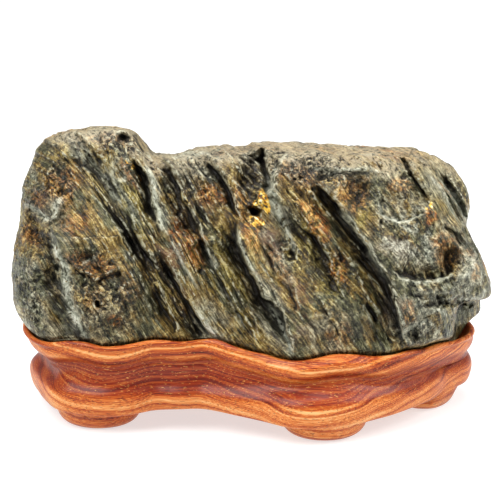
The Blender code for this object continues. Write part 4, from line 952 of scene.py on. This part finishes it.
# %% [markdown]
# ## Oiled river stone
# The stone is a foliated silty rock, polished by water and oiled by hand: grey-olive, with thin yellowish,
# brown and near-black lines along its leaves. Stone is not metal, and its index of refraction is about
# 1.5. Oil makes it a little glossy, so its roughness is between a third and a half. The lines come from
# noise read in the grain's directions at 0.9 and 2.4 mm, and from leaves 1.7 and 6 mm thick that each have
# a tone of their own. The stains and hollows are the numbers kept on the mesh. Real silt is too fine to
# show at this distance, so the grit is drawn about 1 mm coarse. An image could carry all this, but noise
# has no seams and no edge where it ends.

# %% Numbers from the mesh, and settings that the nodes share
TIMES = {"operation": "MULTIPLY"}
OVER = {"operation": "DIVIDE"}
TIMES_AND_ADD = {"operation": "MULTIPLY_ADD"}
FOUR_WAYS = {"noise_dimensions": "4D"}  # the fourth is a seed, which gives another noise at the same places
STEP = {"interpolation_type": "SMOOTHSTEP"}  # a Map Range with it gives an S-curve from 0 to 1

stone = bpy.data.materials.new("oiled foliated river stone")
stone.use_nodes = True
tree = stone.node_tree
tree.nodes.clear()
number = {
    name: add_node(tree, "Attribute", {"attribute_name": name}).outputs["Fac"]
    for name in ["cavity", "depth", "crumble", "combed", "pale_and_lit_edge", *stains_and_painted_light]
}
grain_mm = add_node(tree, "Attribute", {"attribute_name": "grain_mm"}).outputs["Vector"]
across_grain = add_node(tree, "SeparateXYZ", None, Vector=grain_mm)
place = add_node(tree, "TexCoord").outputs["Object"]
print("numbers that the stone's shader reads:", ", ".join(number))

# %% A tone for each leaf
# Each leaf, 6 or 1.7 mm thick, has a tone of its own, which changes slowly along it. In each set the phase
# rises by one from leaf to leaf, and noise bends it. A leaf's whole number, spread far apart, says where its
# tone is read from a noise, and the lengths along the leaf say how soon the tone changes.
NEVER = 1e6  # divided by this, the place across the leaves has no effect on their tones
SPREAD = 7.3  # between the places where neighbouring leaves read their tones
tones, phases = [], []
for thickness, run, bend, seed in [(6.0, 60.0, 3.0, 0.0), (1.7, 22.0, 4.0, 40.0)]:
    scaled = add_node(tree, "VectorMath", OVER, _0=grain_mm, _1=(4 * thickness, run, run))
    wander = add_node(tree, "TexNoise", FOUR_WAYS, Vector=scaled, W=seed, Scale=1.0, Detail=2.0)
    leaf = add_node(tree, "Math", OVER, _0=across_grain, _1=thickness)
    phases.append(add_node(tree, "Math", TIMES_AND_ADD, _0=wander, _1=bend, _2=leaf))
    whole = add_node(tree, "Math", {"operation": "FLOOR"}, _0=phases[-1])
    own_place = add_node(tree, "CombineXYZ", None, X=whole, Y=0.0, Z=0.0)
    along = add_node(tree, "VectorMath", OVER, _0=grain_mm, _1=(NEVER, run, run))
    spot = add_node(tree, "VectorMath", TIMES_AND_ADD, _0=own_place, _1=(SPREAD, 0, 0), _2=along)
    tones.append(add_node(tree, "TexNoise", FOUR_WAYS, Vector=spot, W=seed + 9, Scale=1.0, Detail=2.0))

# %% Noise at the sizes of the streaks, blotches and grit
# (vector, sizes, detail, roughness). The sizes are in millimetres across, down and along the leaves where
# the vector is the grain's, and in metres where it is the place.
streaks, strands, blotches, grit, mottle, holes = (
    add_node(
        tree, "TexNoise", None, Scale=1.0, Detail=detail, Roughness=rough,
        Vector=add_node(tree, "VectorMath", OVER, _0=vector, _1=sizes),
    )
    for vector, sizes, detail, rough in [
        (grain_mm, (0.9, 7.0, 7.0), 1.0, 0.60),
        (grain_mm, (2.4, 20.0, 20.0), 2.0, 0.60),
        (place, (0.010, 0.010, 0.010), 4.0, 0.62),
        (place, (0.0011, 0.0011, 0.0011), 0.0, 0.5),
        (place, (0.0026, 0.0026, 0.0026), 2.0, 0.65),
        (place, (0.0019, 0.0019, 0.0019), 1.0, 0.5),
    ]
)

# %% How light the stone is, and which way its colour goes
# Three weighted sums of the noises: how light combed stone is, where the leaves show, which way its colour
# goes, and how light smoothed stone is.
sums = [0.0, 0.0, 0.0]
for source, *shares in [
    (tones[0], 0.13, 0.35, 0.08), (tones[1], 0.13, 0.15, 0.0), (streaks, 0.24, 0.0, 0.10),
    (strands, 0.17, 0.15, 0.06), (blotches, 0.09, 0.35, 0.20), (mottle, 0.16, 0.0, 0.38),
    (grit, 0.08, 0.0, 0.18),
]:
    sums = [
        add_node(tree, "Math", TIMES_AND_ADD, _0=source, _1=share, _2=total)
        for share, total in zip(shares, sums)
    ]
combed_light, hue, plain_light = sums
light = add_node(tree, "Mix", {"data_type": "FLOAT"}, _0=number["combed"], _2=plain_light, _3=combed_light)

# %% The stone's colours, each from its darkest to its lightest
TONE_PLACES = (0.405, 0.452, 0.49, 0.53, 0.585)  # where on the noise they stand: it seldom leaves 0.4 to 0.6
greyish, brownish, mossy, bleached, worn_and_lit_pale, rusty, golden = (
    add_node(tree, "ValToRGB", None, list(zip(TONE_PLACES, colours)), Fac=light)
    for colours in [
        ("#12120a", "#34331e", "#58563a", "#7c7a5a", "#b6b390"),
        ("#130e05", "#37290e", "#5e481d", "#836b34", "#c0ad72"),
        ("#17150a", "#3b3716", "#675f28", "#918842", "#c9bf7c"),
        ("#1c1d17", "#43473c", "#6d7265", "#969b8c", "#d0d4c6"),
        ("#3c3d31", "#727464", "#9b9d8a", "#bbbca8", "#e2e2d2"),
        ("#1b0c05", "#472108", "#774012", "#a36a28", "#d8ae66"),
        ("#241604", "#8a520a", "#d0901c", "#f6cf52", "#fffbe2"),
    ]
)

# %% Masks: S-curves of the noises and of the numbers on the mesh, each from one level to another
brown, torn, ragged, ragged_edge, broken, pit, speck, glint, streaky, worn_edge_and_highlight, crack, sunk, crystals = (
    add_node(tree, "MapRange", STEP, Value=source, From_Min=low, From_Max=high)
    for source, low, high in [
        (hue, 0.44, 0.53), (blotches, 0.40, 0.54), (mottle, 0.40, 0.52), (mottle, 0.36, 0.46),
        (mottle, 0.44, 0.56), (holes, 0.54, 0.60), (grit, 0.62, 0.70), (streaks, 0.62, 0.72),
        (light, 0.58, 0.46), (number["cavity"], -0.10, -0.40), (number["cavity"], 0.06, 0.40),
        (number["depth"], 0.2, 3.0), (number["gold"], 0.2, 0.6),
    ]
)

# %% Lay the colours over each other, from the stains to the painted shade and the pale edges
# First come the stains, as (number, what tears its edge, share, colour), then the marks, as (mask, what
# breaks it up, share, colour). The painted top light is laid with the stains. Among the marks, the dark ovals
# and the darkening of cracks and sunk places are painted shade, the glints are painted highlights, the pits
# are darker, and the pale edges are partly wear and partly a painted highlight.
layers = [(brown, brownish)]
for name, gate, share, tint in [
    # The tan #a99b7f below paints the upward-facing flat top lighter: painted top light.
    ("olive", torn, 0.60, mossy), ("pale", torn, 0.85, bleached), ("painted_top_light", ragged_edge, 0.62, "#a99b7f"),
    ("lilac", torn, 0.60, "#6b4736"), ("rust", ragged, 1.0, rusty),
]:
    amount = add_node(tree, "Math", TIMES, _0=number[name], _1=share)
    layers.append((add_node(tree, "Math", TIMES, _0=amount, _1=gate), tint))
for mask, gate, share, tint in [
    # painted shade: the dark ovals along clefts and troughs
    (number["dark_and_painted_shade"], streaky, 0.95, "#1a130a"),
    # pale where the surface stands above its surroundings: partly wear, partly a painted highlight
    (worn_edge_and_highlight, broken, 0.75, "#bdbba2"),
    (glint, broken, 0.30, "#b9b393"),
    (speck, 1.0, 0.60, "#120e09"),
    (pit, number["crumble"], 0.76, "#0c0905"),
    # painted shade: cracks, and places sunk below their surroundings, are darkened as if little light reached
    # them
    (crack, 1.0, 0.85, "#0c0905"),
    (sunk, 1.0, 0.85, "#120d07"),
    # the pale edges of the strokes: partly wear, partly a painted highlight
    (number["pale_and_lit_edge"], ragged_edge, 0.85, worn_and_lit_pale),
    (crystals, ragged, 0.95, golden),
]:
    mask = add_node(tree, "Math", TIMES, _0=mask, _1=gate)
    layers.append((add_node(tree, "Math", TIMES, _0=mask, _1=share), tint))
colour = greyish
for amount, tint in layers:
    tint = linear(tint) if isinstance(tint, str) else tint
    colour = add_node(tree, "Mix", {"data_type": "RGBA"}, _0=amount, _6=colour, _7=tint)
print("colours laid over the grey:", len(layers))

# %% Gloss, and relief too fine for the mesh
LEAF_STEP = -0.6  # the thin leaves sink from one to the next, as the carved ones do
BUMP_HEIGHT = 0.0008
roughness = add_node(
    tree, "MapRange", None, Value=light, From_Min=0.40, From_Max=0.60, To_Min=0.34, To_Max=0.50
)
hole = add_node(tree, "Math", TIMES, _0=pit, _1=number["crumble"])
thin_leaf = add_node(tree, "Math", {"operation": "FRACT"}, _0=phases[1])
relief = add_node(tree, "Math", TIMES, _0=thin_leaf, _1=LEAF_STEP)
relief = add_node(tree, "Math", TIMES, _0=relief, _1=number["combed"])
for source, share in [
    (grit, 0.5), (streaks, 1.2), (strands, 1.0), (mottle, 1.6), (hole, -0.9), (speck, -0.3),
]:
    relief = add_node(tree, "Math", TIMES_AND_ADD, _0=source, _1=share, _2=relief)
bump = add_node(tree, "Bump", None, Height=relief, Distance=BUMP_HEIGHT, Strength=1.0)
shader = add_node(
    tree, "BsdfPrincipled", None, Base_Color=colour, Roughness=roughness, IOR=1.5, Metallic=0.0,
    Specular_IOR_Level=0.3, Normal=bump,
)
add_node(tree, "OutputMaterial", None, Surface=shader)

# %% [markdown]
# ## The rock as a mesh
# The computed mesh has one point about every half millimetre, also where nothing happens. Blender's
# Decimate modifier joins the flattest triangles first, so what stays follows the cracks and edges. The
# numbers on the points are blended as points are joined, so the colours come through.

# %% Make the rock and thin it
MOST_TRIANGLES = 196000
rock = new_piece("rock_skin", carved + TO_MIDDLE, rock_quads, stone)
relief_numbers = {
    "cavity": cavity, "depth": depth, "crumble": crumble, "combed": combed, "pale_and_lit_edge": pale_and_lit_edge,
    "grain_mm": grain_places(carved) / MM,
}
for name, values in (relief_numbers | stains_and_painted_light).items():
    set_attribute(rock.data, name, values)
thin = rock.modifiers.new("thin", "DECIMATE")
thin.ratio = MOST_TRIANGLES / (2 * len(rock_quads))
full_mesh = rock.data
graph = bpy.context.evaluated_depsgraph_get()
thinned = bpy.data.meshes.new_from_object(
    rock.evaluated_get(graph), preserve_all_data_layers=True, depsgraph=graph
)
rock.modifiers.clear()
rock.data = thinned
bpy.data.meshes.remove(full_mesh)
rock.data.name = "rock_skin"
rock.data.shade_smooth()
print("rock:", len(rock.data.vertices), "points,", len(rock.data.polygons), "faces")

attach(rock, "root")
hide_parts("rock")

# %% [markdown]
# ## The carved stand
# The stand is one block of reddish hardwood. A carver cut a seat to the rock's foot, left a thin rolled
# rim round it, rounded a full moulding below, and undercut the block so that it stands on bowl-shaped
# feet. It could be modelled by hand, but the moulding is the same profile all the way round, so here a
# smooth profile is carried round the foot's outline. It swells over the front foot, draws in at the ends
# and rises in a low arch between the front feet, and a carved crease runs where feet and moulding meet.

# %% Profile of the stand, in millimetres, from the inner edge of its rim down its outside
# Offsets are outward from the rock's foot. Heights are down from the rim in RIM_PART, and up from the
# floor in BASE_PART. A carver's swell pushes the moulding out over the front foot.
RIM_PART = [
    (0.7, -1.0), (1.4, -0.3), (2.3, 0.0), (3.4, -0.3), (4.4, -1.6), (5.2, -3.6), (5.4, -5.6),
    (4.9, -7.8), (3.9, -9.8), (2.9, -11.3), (2.4, -12.4), (2.3, -13.4), (2.6, -14.4),
]
BASE_PART = [
    (5.6, 26.0), (7.6, 23.5), (8.5, 21.0), (8.6, 18.0), (7.9, 14.8), (5.8, 12.0), (2.4, 10.4),
    (-1.0, 9.8), (-4.5, 9.5),
]
SWELL = (
    [-125, -100, -78, -60, -40, -24, -10, 12, 32, 50, 72, 100, 125],
    [-5, -5, -4, -4.5, -3.5, -1, -1, 2, 6, 4, -4, -8, -4],
)
ARCH = (-0.030, 0.050, 0.0030)  # the base's arch: its middle and half length along X, and its rise,
ARCH_TOP = (0.025, 0.012)  # which rows lower than this height follow, fully after this much less
END_NECK = 5.5  # how much deeper the neck is cut at the left end
END_BASE = 5.5  # how much the moulding draws in at both ends
# Feet, in millimetres: (middle along X, middle along Y, half length, half depth, turn in degrees).
FEET = [
    (-82, -23, 23, 19, -4), (38, -40, 23, 20, 0), (94, 7, 19, 20, 35),
    (-84, 34, 23, 18, 4), (52, 37, 23, 18, -3),
]
FOOT_FLAT = 0.58  # the share of a foot's half size that is flat on the floor
RIM_CARRIED = 0.35  # the rim's outside follows this share of the moulding's swell,
RIM_TURN = (1.0, 3.0)  # from this far below its top, over this much height, in millimetres
NECK_DROP = 0.0165  # from the rim down to the middle of the neck, and how high the neck is
NECK_SIZE = 0.006
LEFT_END = (-0.062, 0.060)  # along X, where the left end's neck starts, and over what length it deepens
BOTH_ENDS = (0.095, 0.022)  # the same for the ends' drawing in
UNDER_STARTS = (0.016, 0.006)  # rows lower than this height bend to the underside, over this much height
CREASE_DEPTH, CREASE_HEIGHT, CREASE_SIZE = 0.0013, 0.0112, 0.0007  # where the feet meet the moulding
SWELL_FADE = 0.030  # along Y, the swell fades out over this much, half of it behind the middle
STAND_SPINE = (-0.066, 0.070, 0.004)  # the seat's floor and the underside close on this line along X
UNDERSIDE = 0.0095
print("the profile has", len(RIM_PART), "points from the rim and", len(BASE_PART), "from the floor")

# %% Carry the profile round the rock's foot
STAND_STEPS = 640
ROW_STEPS = 4  # rows between two points of the profile
SEAT_ROWS, BRIDGE_ROWS, UNDER_ROWS = 10, 7, 44
ALMOST_CLOSED = 0.98  # the share of the way to the spine where the last rings stop
# The cove between rim and moulding is painted darker, as the rim's shade, and the moulding's belly is
# painted lighter, as where it catches the light: painted shade and painted light. Each lies between two
# fades, (from, over), of the height or of how far a point is below the rim.
COVE_BELOW_RIM, COVE_BOTTOM = (0.008, 0.004), (0.019, 0.006)
BELLY_TOP, BELLY_BOTTOM, BELLY_SHARE = (0.024, 0.006), (0.0125, 0.002), 0.8


def arch_rise(x):
    """How much the base rises between its front feet: an S-curve up to the arch's middle and down again."""
    return ARCH[2] * ease(1 - np.abs(x - ARCH[0]) / ARCH[1])


def stand_underside(x, y):
    """Height of the underside: an arch with five bowls. A bowl's height is h (1 - sqrt(1 - r^2)), with r from
    0 at the edge of its flat foot to 1 at its rim."""
    arch = UNDERSIDE + arch_rise(x)
    height = arch
    for middle_x, middle_y, half_x, half_y, turn in FEET:
        along = oval(x / MM, y / MM, (middle_x, middle_y), (half_x, half_y), turn)
        rise = np.clip((along - FOOT_FLAT) / (1 - FOOT_FLAT), 0, 1)
        height = np.minimum(height, arch * (1 - np.sqrt(1 - rise**2)))
    return height


def foot_ring(steps):
    """Evenly spaced points along the rock's foot seen from above, and their outward directions."""
    curve = closed_curve(FOOT_PLAN, 40) * MM
    curve = np.vstack([curve, curve[:1]])
    reached = np.concatenate([[0.0], np.cumsum(np.hypot(*np.diff(curve, axis=0).T))])
    even = np.linspace(0, reached[-1], steps, endpoint=False)
    ring = np.stack([np.interp(even, reached, curve[:, k]) for k in range(2)], axis=-1)
    way = np.roll(ring, -1, 0) - np.roll(ring, 1, 0)
    way /= np.linalg.norm(way, axis=1)[:, None]
    return ring, np.stack([way[:, 1], -way[:, 0]], axis=-1)


def fine_profile(table):
    """The same profile with more points: a smooth curve through its points, by their place in the list."""
    places = np.linspace(0, len(table) - 1, (len(table) - 1) * ROW_STEPS + 1)
    offsets, heights = zip(*table)
    index = list(range(len(table)))
    return list(zip(smooth_curve(places, (index, offsets)), smooth_curve(places, (index, heights))))


def stand_rows():
    """Rings of points from the seat's floor, over the rim, down the moulding and in along the underside:
    ring + outward x offset, with a height that follows the rim at the top and the floor at the bottom. The
    second result is painted shade and light: 1 between rim and moulding, in the rim's shade, below 0 on the
    belly, painted lighter as if lit, and 0 elsewhere."""
    ring, out = foot_ring(STAND_STEPS)
    rim = rim_height(ring[:, 0])
    swell = smooth_curve(ring[:, 0] / MM, SWELL) * ease(0.5 - ring[:, 1] / SWELL_FADE) * MM
    left_end = ease((LEFT_END[0] - ring[:, 0]) / LEFT_END[1])
    end = ease((np.abs(ring[:, 0]) - BOTH_ENDS[0]) / BOTH_ENDS[1]) * END_BASE * MM
    spine = np.stack([np.clip(ring[:, 0], *STAND_SPINE[:2]), np.full(STAND_STEPS, STAND_SPINE[2])], axis=-1)
    rows, painted_shade_and_light = [], []
    for share in np.linspace(ALMOST_CLOSED, 0.0, SEAT_ROWS):
        inner = ring + out * (SEAT_GAP - SEAT_TAPER * (rim - SEAT_FLOOR))[:, None]
        rows.append(np.column_stack([inner + (spine - inner) * share, np.full(STAND_STEPS, SEAT_FLOOR)]))
        painted_shade_and_light.append(np.zeros(STAND_STEPS))
    rim_part = [
        (offset, rim + drop * MM, RIM_CARRIED * ease((-drop - RIM_TURN[0]) / RIM_TURN[1]))
        for offset, drop in fine_profile(RIM_PART)
    ]
    base_part = [
        (offset, np.full(STAND_STEPS, height * MM), 1.0) for offset, height in fine_profile(BASE_PART)
    ]
    bridge = [
        (RIM_PART[-1][0] * (1 - t**2) + BASE_PART[0][0] * t**2,
         (rim + RIM_PART[-1][1] * MM) * (1 - t) + BASE_PART[0][1] * MM * t, RIM_CARRIED * (1 - t) + t)
        for t in np.linspace(0, 1, BRIDGE_ROWS)[1:-1]
    ]
    for offset, height, carried in rim_part + bridge + base_part:
        neck = np.exp(-((height - rim + NECK_DROP) / NECK_SIZE) ** 2) * END_NECK * MM * left_end
        neck += CREASE_DEPTH * np.exp(-((height - CREASE_HEIGHT) / CREASE_SIZE) ** 2)
        flat = ring + out * (offset * MM + (swell - end) * carried - neck)[:, None]
        under = stand_underside(flat[:, 0], flat[:, 1])
        low = ease((UNDER_STARTS[0] - height) / UNDER_STARTS[1])
        height = height + arch_rise(ring[:, 0]) * ease((ARCH_TOP[0] - height) / ARCH_TOP[1])
        rows.append(np.column_stack([flat, height + (np.minimum(height, under) - height) * low]))
        # The belly is painted lighter, as if lit, and the band below the rim darker, as its shade: painted
        # light and painted shade.
        belly = ease((BELLY_TOP[0] - height) / BELLY_TOP[1])
        belly *= ease((height - BELLY_BOTTOM[0]) / BELLY_BOTTOM[1])
        dark_and_painted_shade = ease((rim - height - COVE_BELOW_RIM[0]) / COVE_BELOW_RIM[1])
        dark_and_painted_shade *= ease((height - COVE_BOTTOM[0]) / COVE_BOTTOM[1])
        painted_shade_and_light.append(dark_and_painted_shade - BELLY_SHARE * belly)
    edge = rows[-1][:, :2]
    for share in np.linspace(0.0, ALMOST_CLOSED, UNDER_ROWS)[1:]:
        flat = edge + (spine - edge) * share
        rows.append(np.column_stack([flat, stand_underside(flat[:, 0], flat[:, 1])]))
        painted_shade_and_light.append(np.zeros(STAND_STEPS))
    return np.array(rows), np.concatenate(painted_shade_and_light)


def skin_of_rows(rows):
    """Quads between neighbouring rings, which close on themselves. Each end ring is closed onto its own
    far side by quads across it."""
    count, steps = rows.shape[:2]
    here = (np.arange(count - 1)[:, None] * steps + np.arange(steps)).ravel()
    after = (np.arange(count - 1)[:, None] * steps + (np.arange(steps) + 1) % steps).ravel()
    sides = np.stack([here, here + steps, after + steps, after], axis=-1)
    k = np.arange(steps // 2 - 1)
    first = np.stack([k, k + 1, steps - 2 - k, steps - 1 - k], axis=-1)
    return np.concatenate([sides, first, (first + (count - 1) * steps)[:, ::-1]])


rows, painted_shade_and_light = stand_rows()
stand_points = rows.reshape(-1, 3)
print("stand:", rows.shape[0], "rings of", rows.shape[1], "points")

# %% [markdown]
# ## Varnished rosewood-like hardwood
# The block is a reddish tropical hardwood, sanded and varnished. It is cut with its grain along the stand,
# so growth rings show as long lines that bend round the moulding like contour lines, with short dark
# pores along them. The varnish is thin and worn: a light clear coat, index about 1.5, roughness about 0.3,
# over wood at about 0.4. The rings are about 3 mm apart. Real pores are 0.25 mm wide, too fine to show at
# this distance, so they are drawn 0.55 mm wide and 4 mm long.

# %% Noise along the grain of the wood
wood = bpy.data.materials.new("varnished red hardwood")
wood.use_nodes = True
tree = wood.node_tree
tree.nodes.clear()
place = add_node(tree, "TexCoord").outputs["Object"]
PORE = (0.0038, 0.00055, 0.00055)  # along the grain and across it, in metres
wander, fibres, pores, broad, shine = (
    add_node(
        tree, "TexNoise", None, Scale=1.0, Detail=detail, Roughness=0.6,
        Vector=add_node(tree, "VectorMath", OVER, _0=place, _1=sizes),
    )
    for sizes, detail in [
        ((0.110, 0.040, 0.040), 2.0),
        ((0.020, 0.00060, 0.00060), 3.0),
        (PORE, 1.0),
        ((0.090, 0.020, 0.012), 2.0),
        ((0.0024, 0.00050, 0.00060), 1.0),
    ]
)
print("the wood's pores in mm:", np.round(np.array(PORE) / MM, 2))

# %% Growth rings, and the figure that they make
PITH = (0.0, 0.060, -0.300)  # the tree's middle runs along X here, below and behind the stand
ALONG = (0.05, 1.0, 1.0)  # the tree tapers, so rings bend slowly along X
RING = 0.0030  # from ring to ring, in metres
RING_WANDER = 5.0  # how many rings noise bends them by
flattened = add_node(tree, "VectorMath", TIMES, _0=place, _1=ALONG)
from_pith = add_node(tree, "VectorMath", {"operation": "DISTANCE"}, _0=flattened, _1=PITH)
rings = add_node(tree, "Math", OVER, _0=from_pith.outputs["Value"], _1=RING)
rings = add_node(tree, "Math", TIMES_AND_ADD, _0=wander, _1=RING_WANDER, _2=rings)
ring_noise = add_node(
    tree, "TexNoise", {"noise_dimensions": "1D"}, W=rings, Scale=1.0, Detail=4.0, Roughness=0.75
)
figure = 0.0
# Painted shade in the cove and painted light on the belly, kept on the stand's points: they shift the figure
# and tint the colour.
shade = add_node(tree, "Attribute", {"attribute_name": "painted_shade_and_light"}).outputs["Fac"]
for source, share in [(ring_noise, 0.52), (fibres, 0.26), (broad, 0.22), (shade, -0.045)]:
    figure = add_node(tree, "Math", TIMES_AND_ADD, _0=source, _1=share, _2=figure)

# %% The wood's colours, pores and varnish
FIBRE_HEIGHT = 0.00015
colour = add_node(
    tree, "ValToRGB", None,
    [(0.37, "#461003"), (0.43, "#882c08"), (0.49, "#b35118"), (0.55, "#d37a34"), (0.64, "#ebb274")],
    Fac=figure,
)
pore = add_node(tree, "MapRange", STEP, Value=pores, From_Min=0.62, From_Max=0.70)
dash = add_node(tree, "MapRange", STEP, Value=shine, From_Min=0.64, From_Max=0.72)
# 761a02 darkens the cove between rim and moulding: painted shade
for mask, share, tint in [(shade, 0.50, "#761a02"), (pore, 0.70, "#42150a"), (dash, 0.45, "#f0b45e")]:
    amount = add_node(tree, "Math", TIMES, _0=mask, _1=share)
    colour = add_node(tree, "Mix", {"data_type": "RGBA"}, _0=amount, _6=colour, _7=linear(tint))
relief = add_node(tree, "Math", {"operation": "SUBTRACT"}, _0=fibres, _1=pore)
bump = add_node(tree, "Bump", None, Height=relief, Distance=FIBRE_HEIGHT, Strength=0.6)
shader = add_node(
    tree, "BsdfPrincipled", None, Base_Color=colour, Roughness=0.42, IOR=1.5, Metallic=0.0,
    Specular_IOR_Level=0.20, Coat_Weight=0.16, Coat_Roughness=0.28, Coat_IOR=1.5, Normal=bump,
)
add_node(tree, "OutputMaterial", None, Surface=shader)

# %% Make the stand
stand = new_piece("stand_skin", stand_points + TO_MIDDLE, skin_of_rows(rows), wood)
set_attribute(stand.data, "painted_shade_and_light", painted_shade_and_light)
print("stand:", len(stand.data.polygons), "faces")
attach(stand, "root")
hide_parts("stand")

# %% [markdown]
# ## Floor and light
# The object stands on plain white paper in soft studio light: a broad window light from the upper left, in
# front, a softbox above, another at the right, and a white surrounding. Broad lights give the thin grey
# shadows under the stand, and leave the clefts dark, because little light reaches into them. The paper
# glows a little, like a light table, so that it comes out nearly white without bleaching the wood.

# %% Floor, lights and surrounding
paper = bpy.data.materials.new("white backing paper")
paper.use_nodes = True
for name, value in [
    ("Base Color", linear("#b2b4b4")), ("Roughness", 0.9), ("Emission Color", linear("#ffffff")),
    ("Emission Strength", 0.62),
]:
    paper.node_tree.nodes["Principled BSDF"].inputs[name].default_value = value
FLOOR_HALF = 6.0  # metres, so that the paper's edge is out of sight
floor_corners = np.array([(-1, -1, 0), (1, -1, 0), (1, 1, 0), (-1, 1, 0)]) * FLOOR_HALF
floor = new_piece("floor", floor_corners, np.array([[0, 1, 2, 3]]), paper)
ROCK_MIDDLE = Vector((0.0, 0.0, 0.08))


def add_light(kind, name, place, watts, **settings):
    """A light that faces the rock from its place: its -Z runs along the middle of the rock less the place."""
    data = bpy.data.lights.new(name, kind)
    data.energy = watts
    for setting, value in settings.items():
        setattr(data, setting, value)
    light = bpy.data.objects.new(name, data)
    light.location = place
    to_rock = ROCK_MIDDLE - Vector(place)
    light.rotation_euler = to_rock.to_track_quat("-Z", "Y").to_euler()
    bpy.context.collection.objects.link(light)


add_light("SUN", "window light", (-0.6, -0.5, 1.1), 2.8, angle=math.radians(40))
add_light("AREA", "softbox above", (0.1, 0.1, 0.9), 7.0, size=0.5)
add_light("AREA", "softbox at the right", (0.9, -0.2, 0.8), 9.0, size=0.6)
world = bpy.data.worlds.new("white surrounding")
world.use_nodes = True
sky = world.node_tree.nodes["Background"]
for name, value in [("Color", linear("#ffffff")), ("Strength", 0.35)]:
    sky.inputs[name].default_value = value
bpy.context.scene.world = world
bpy.context.scene.view_settings.view_transform = "Standard"
print("lights:", ", ".join(light.name for light in bpy.data.lights))
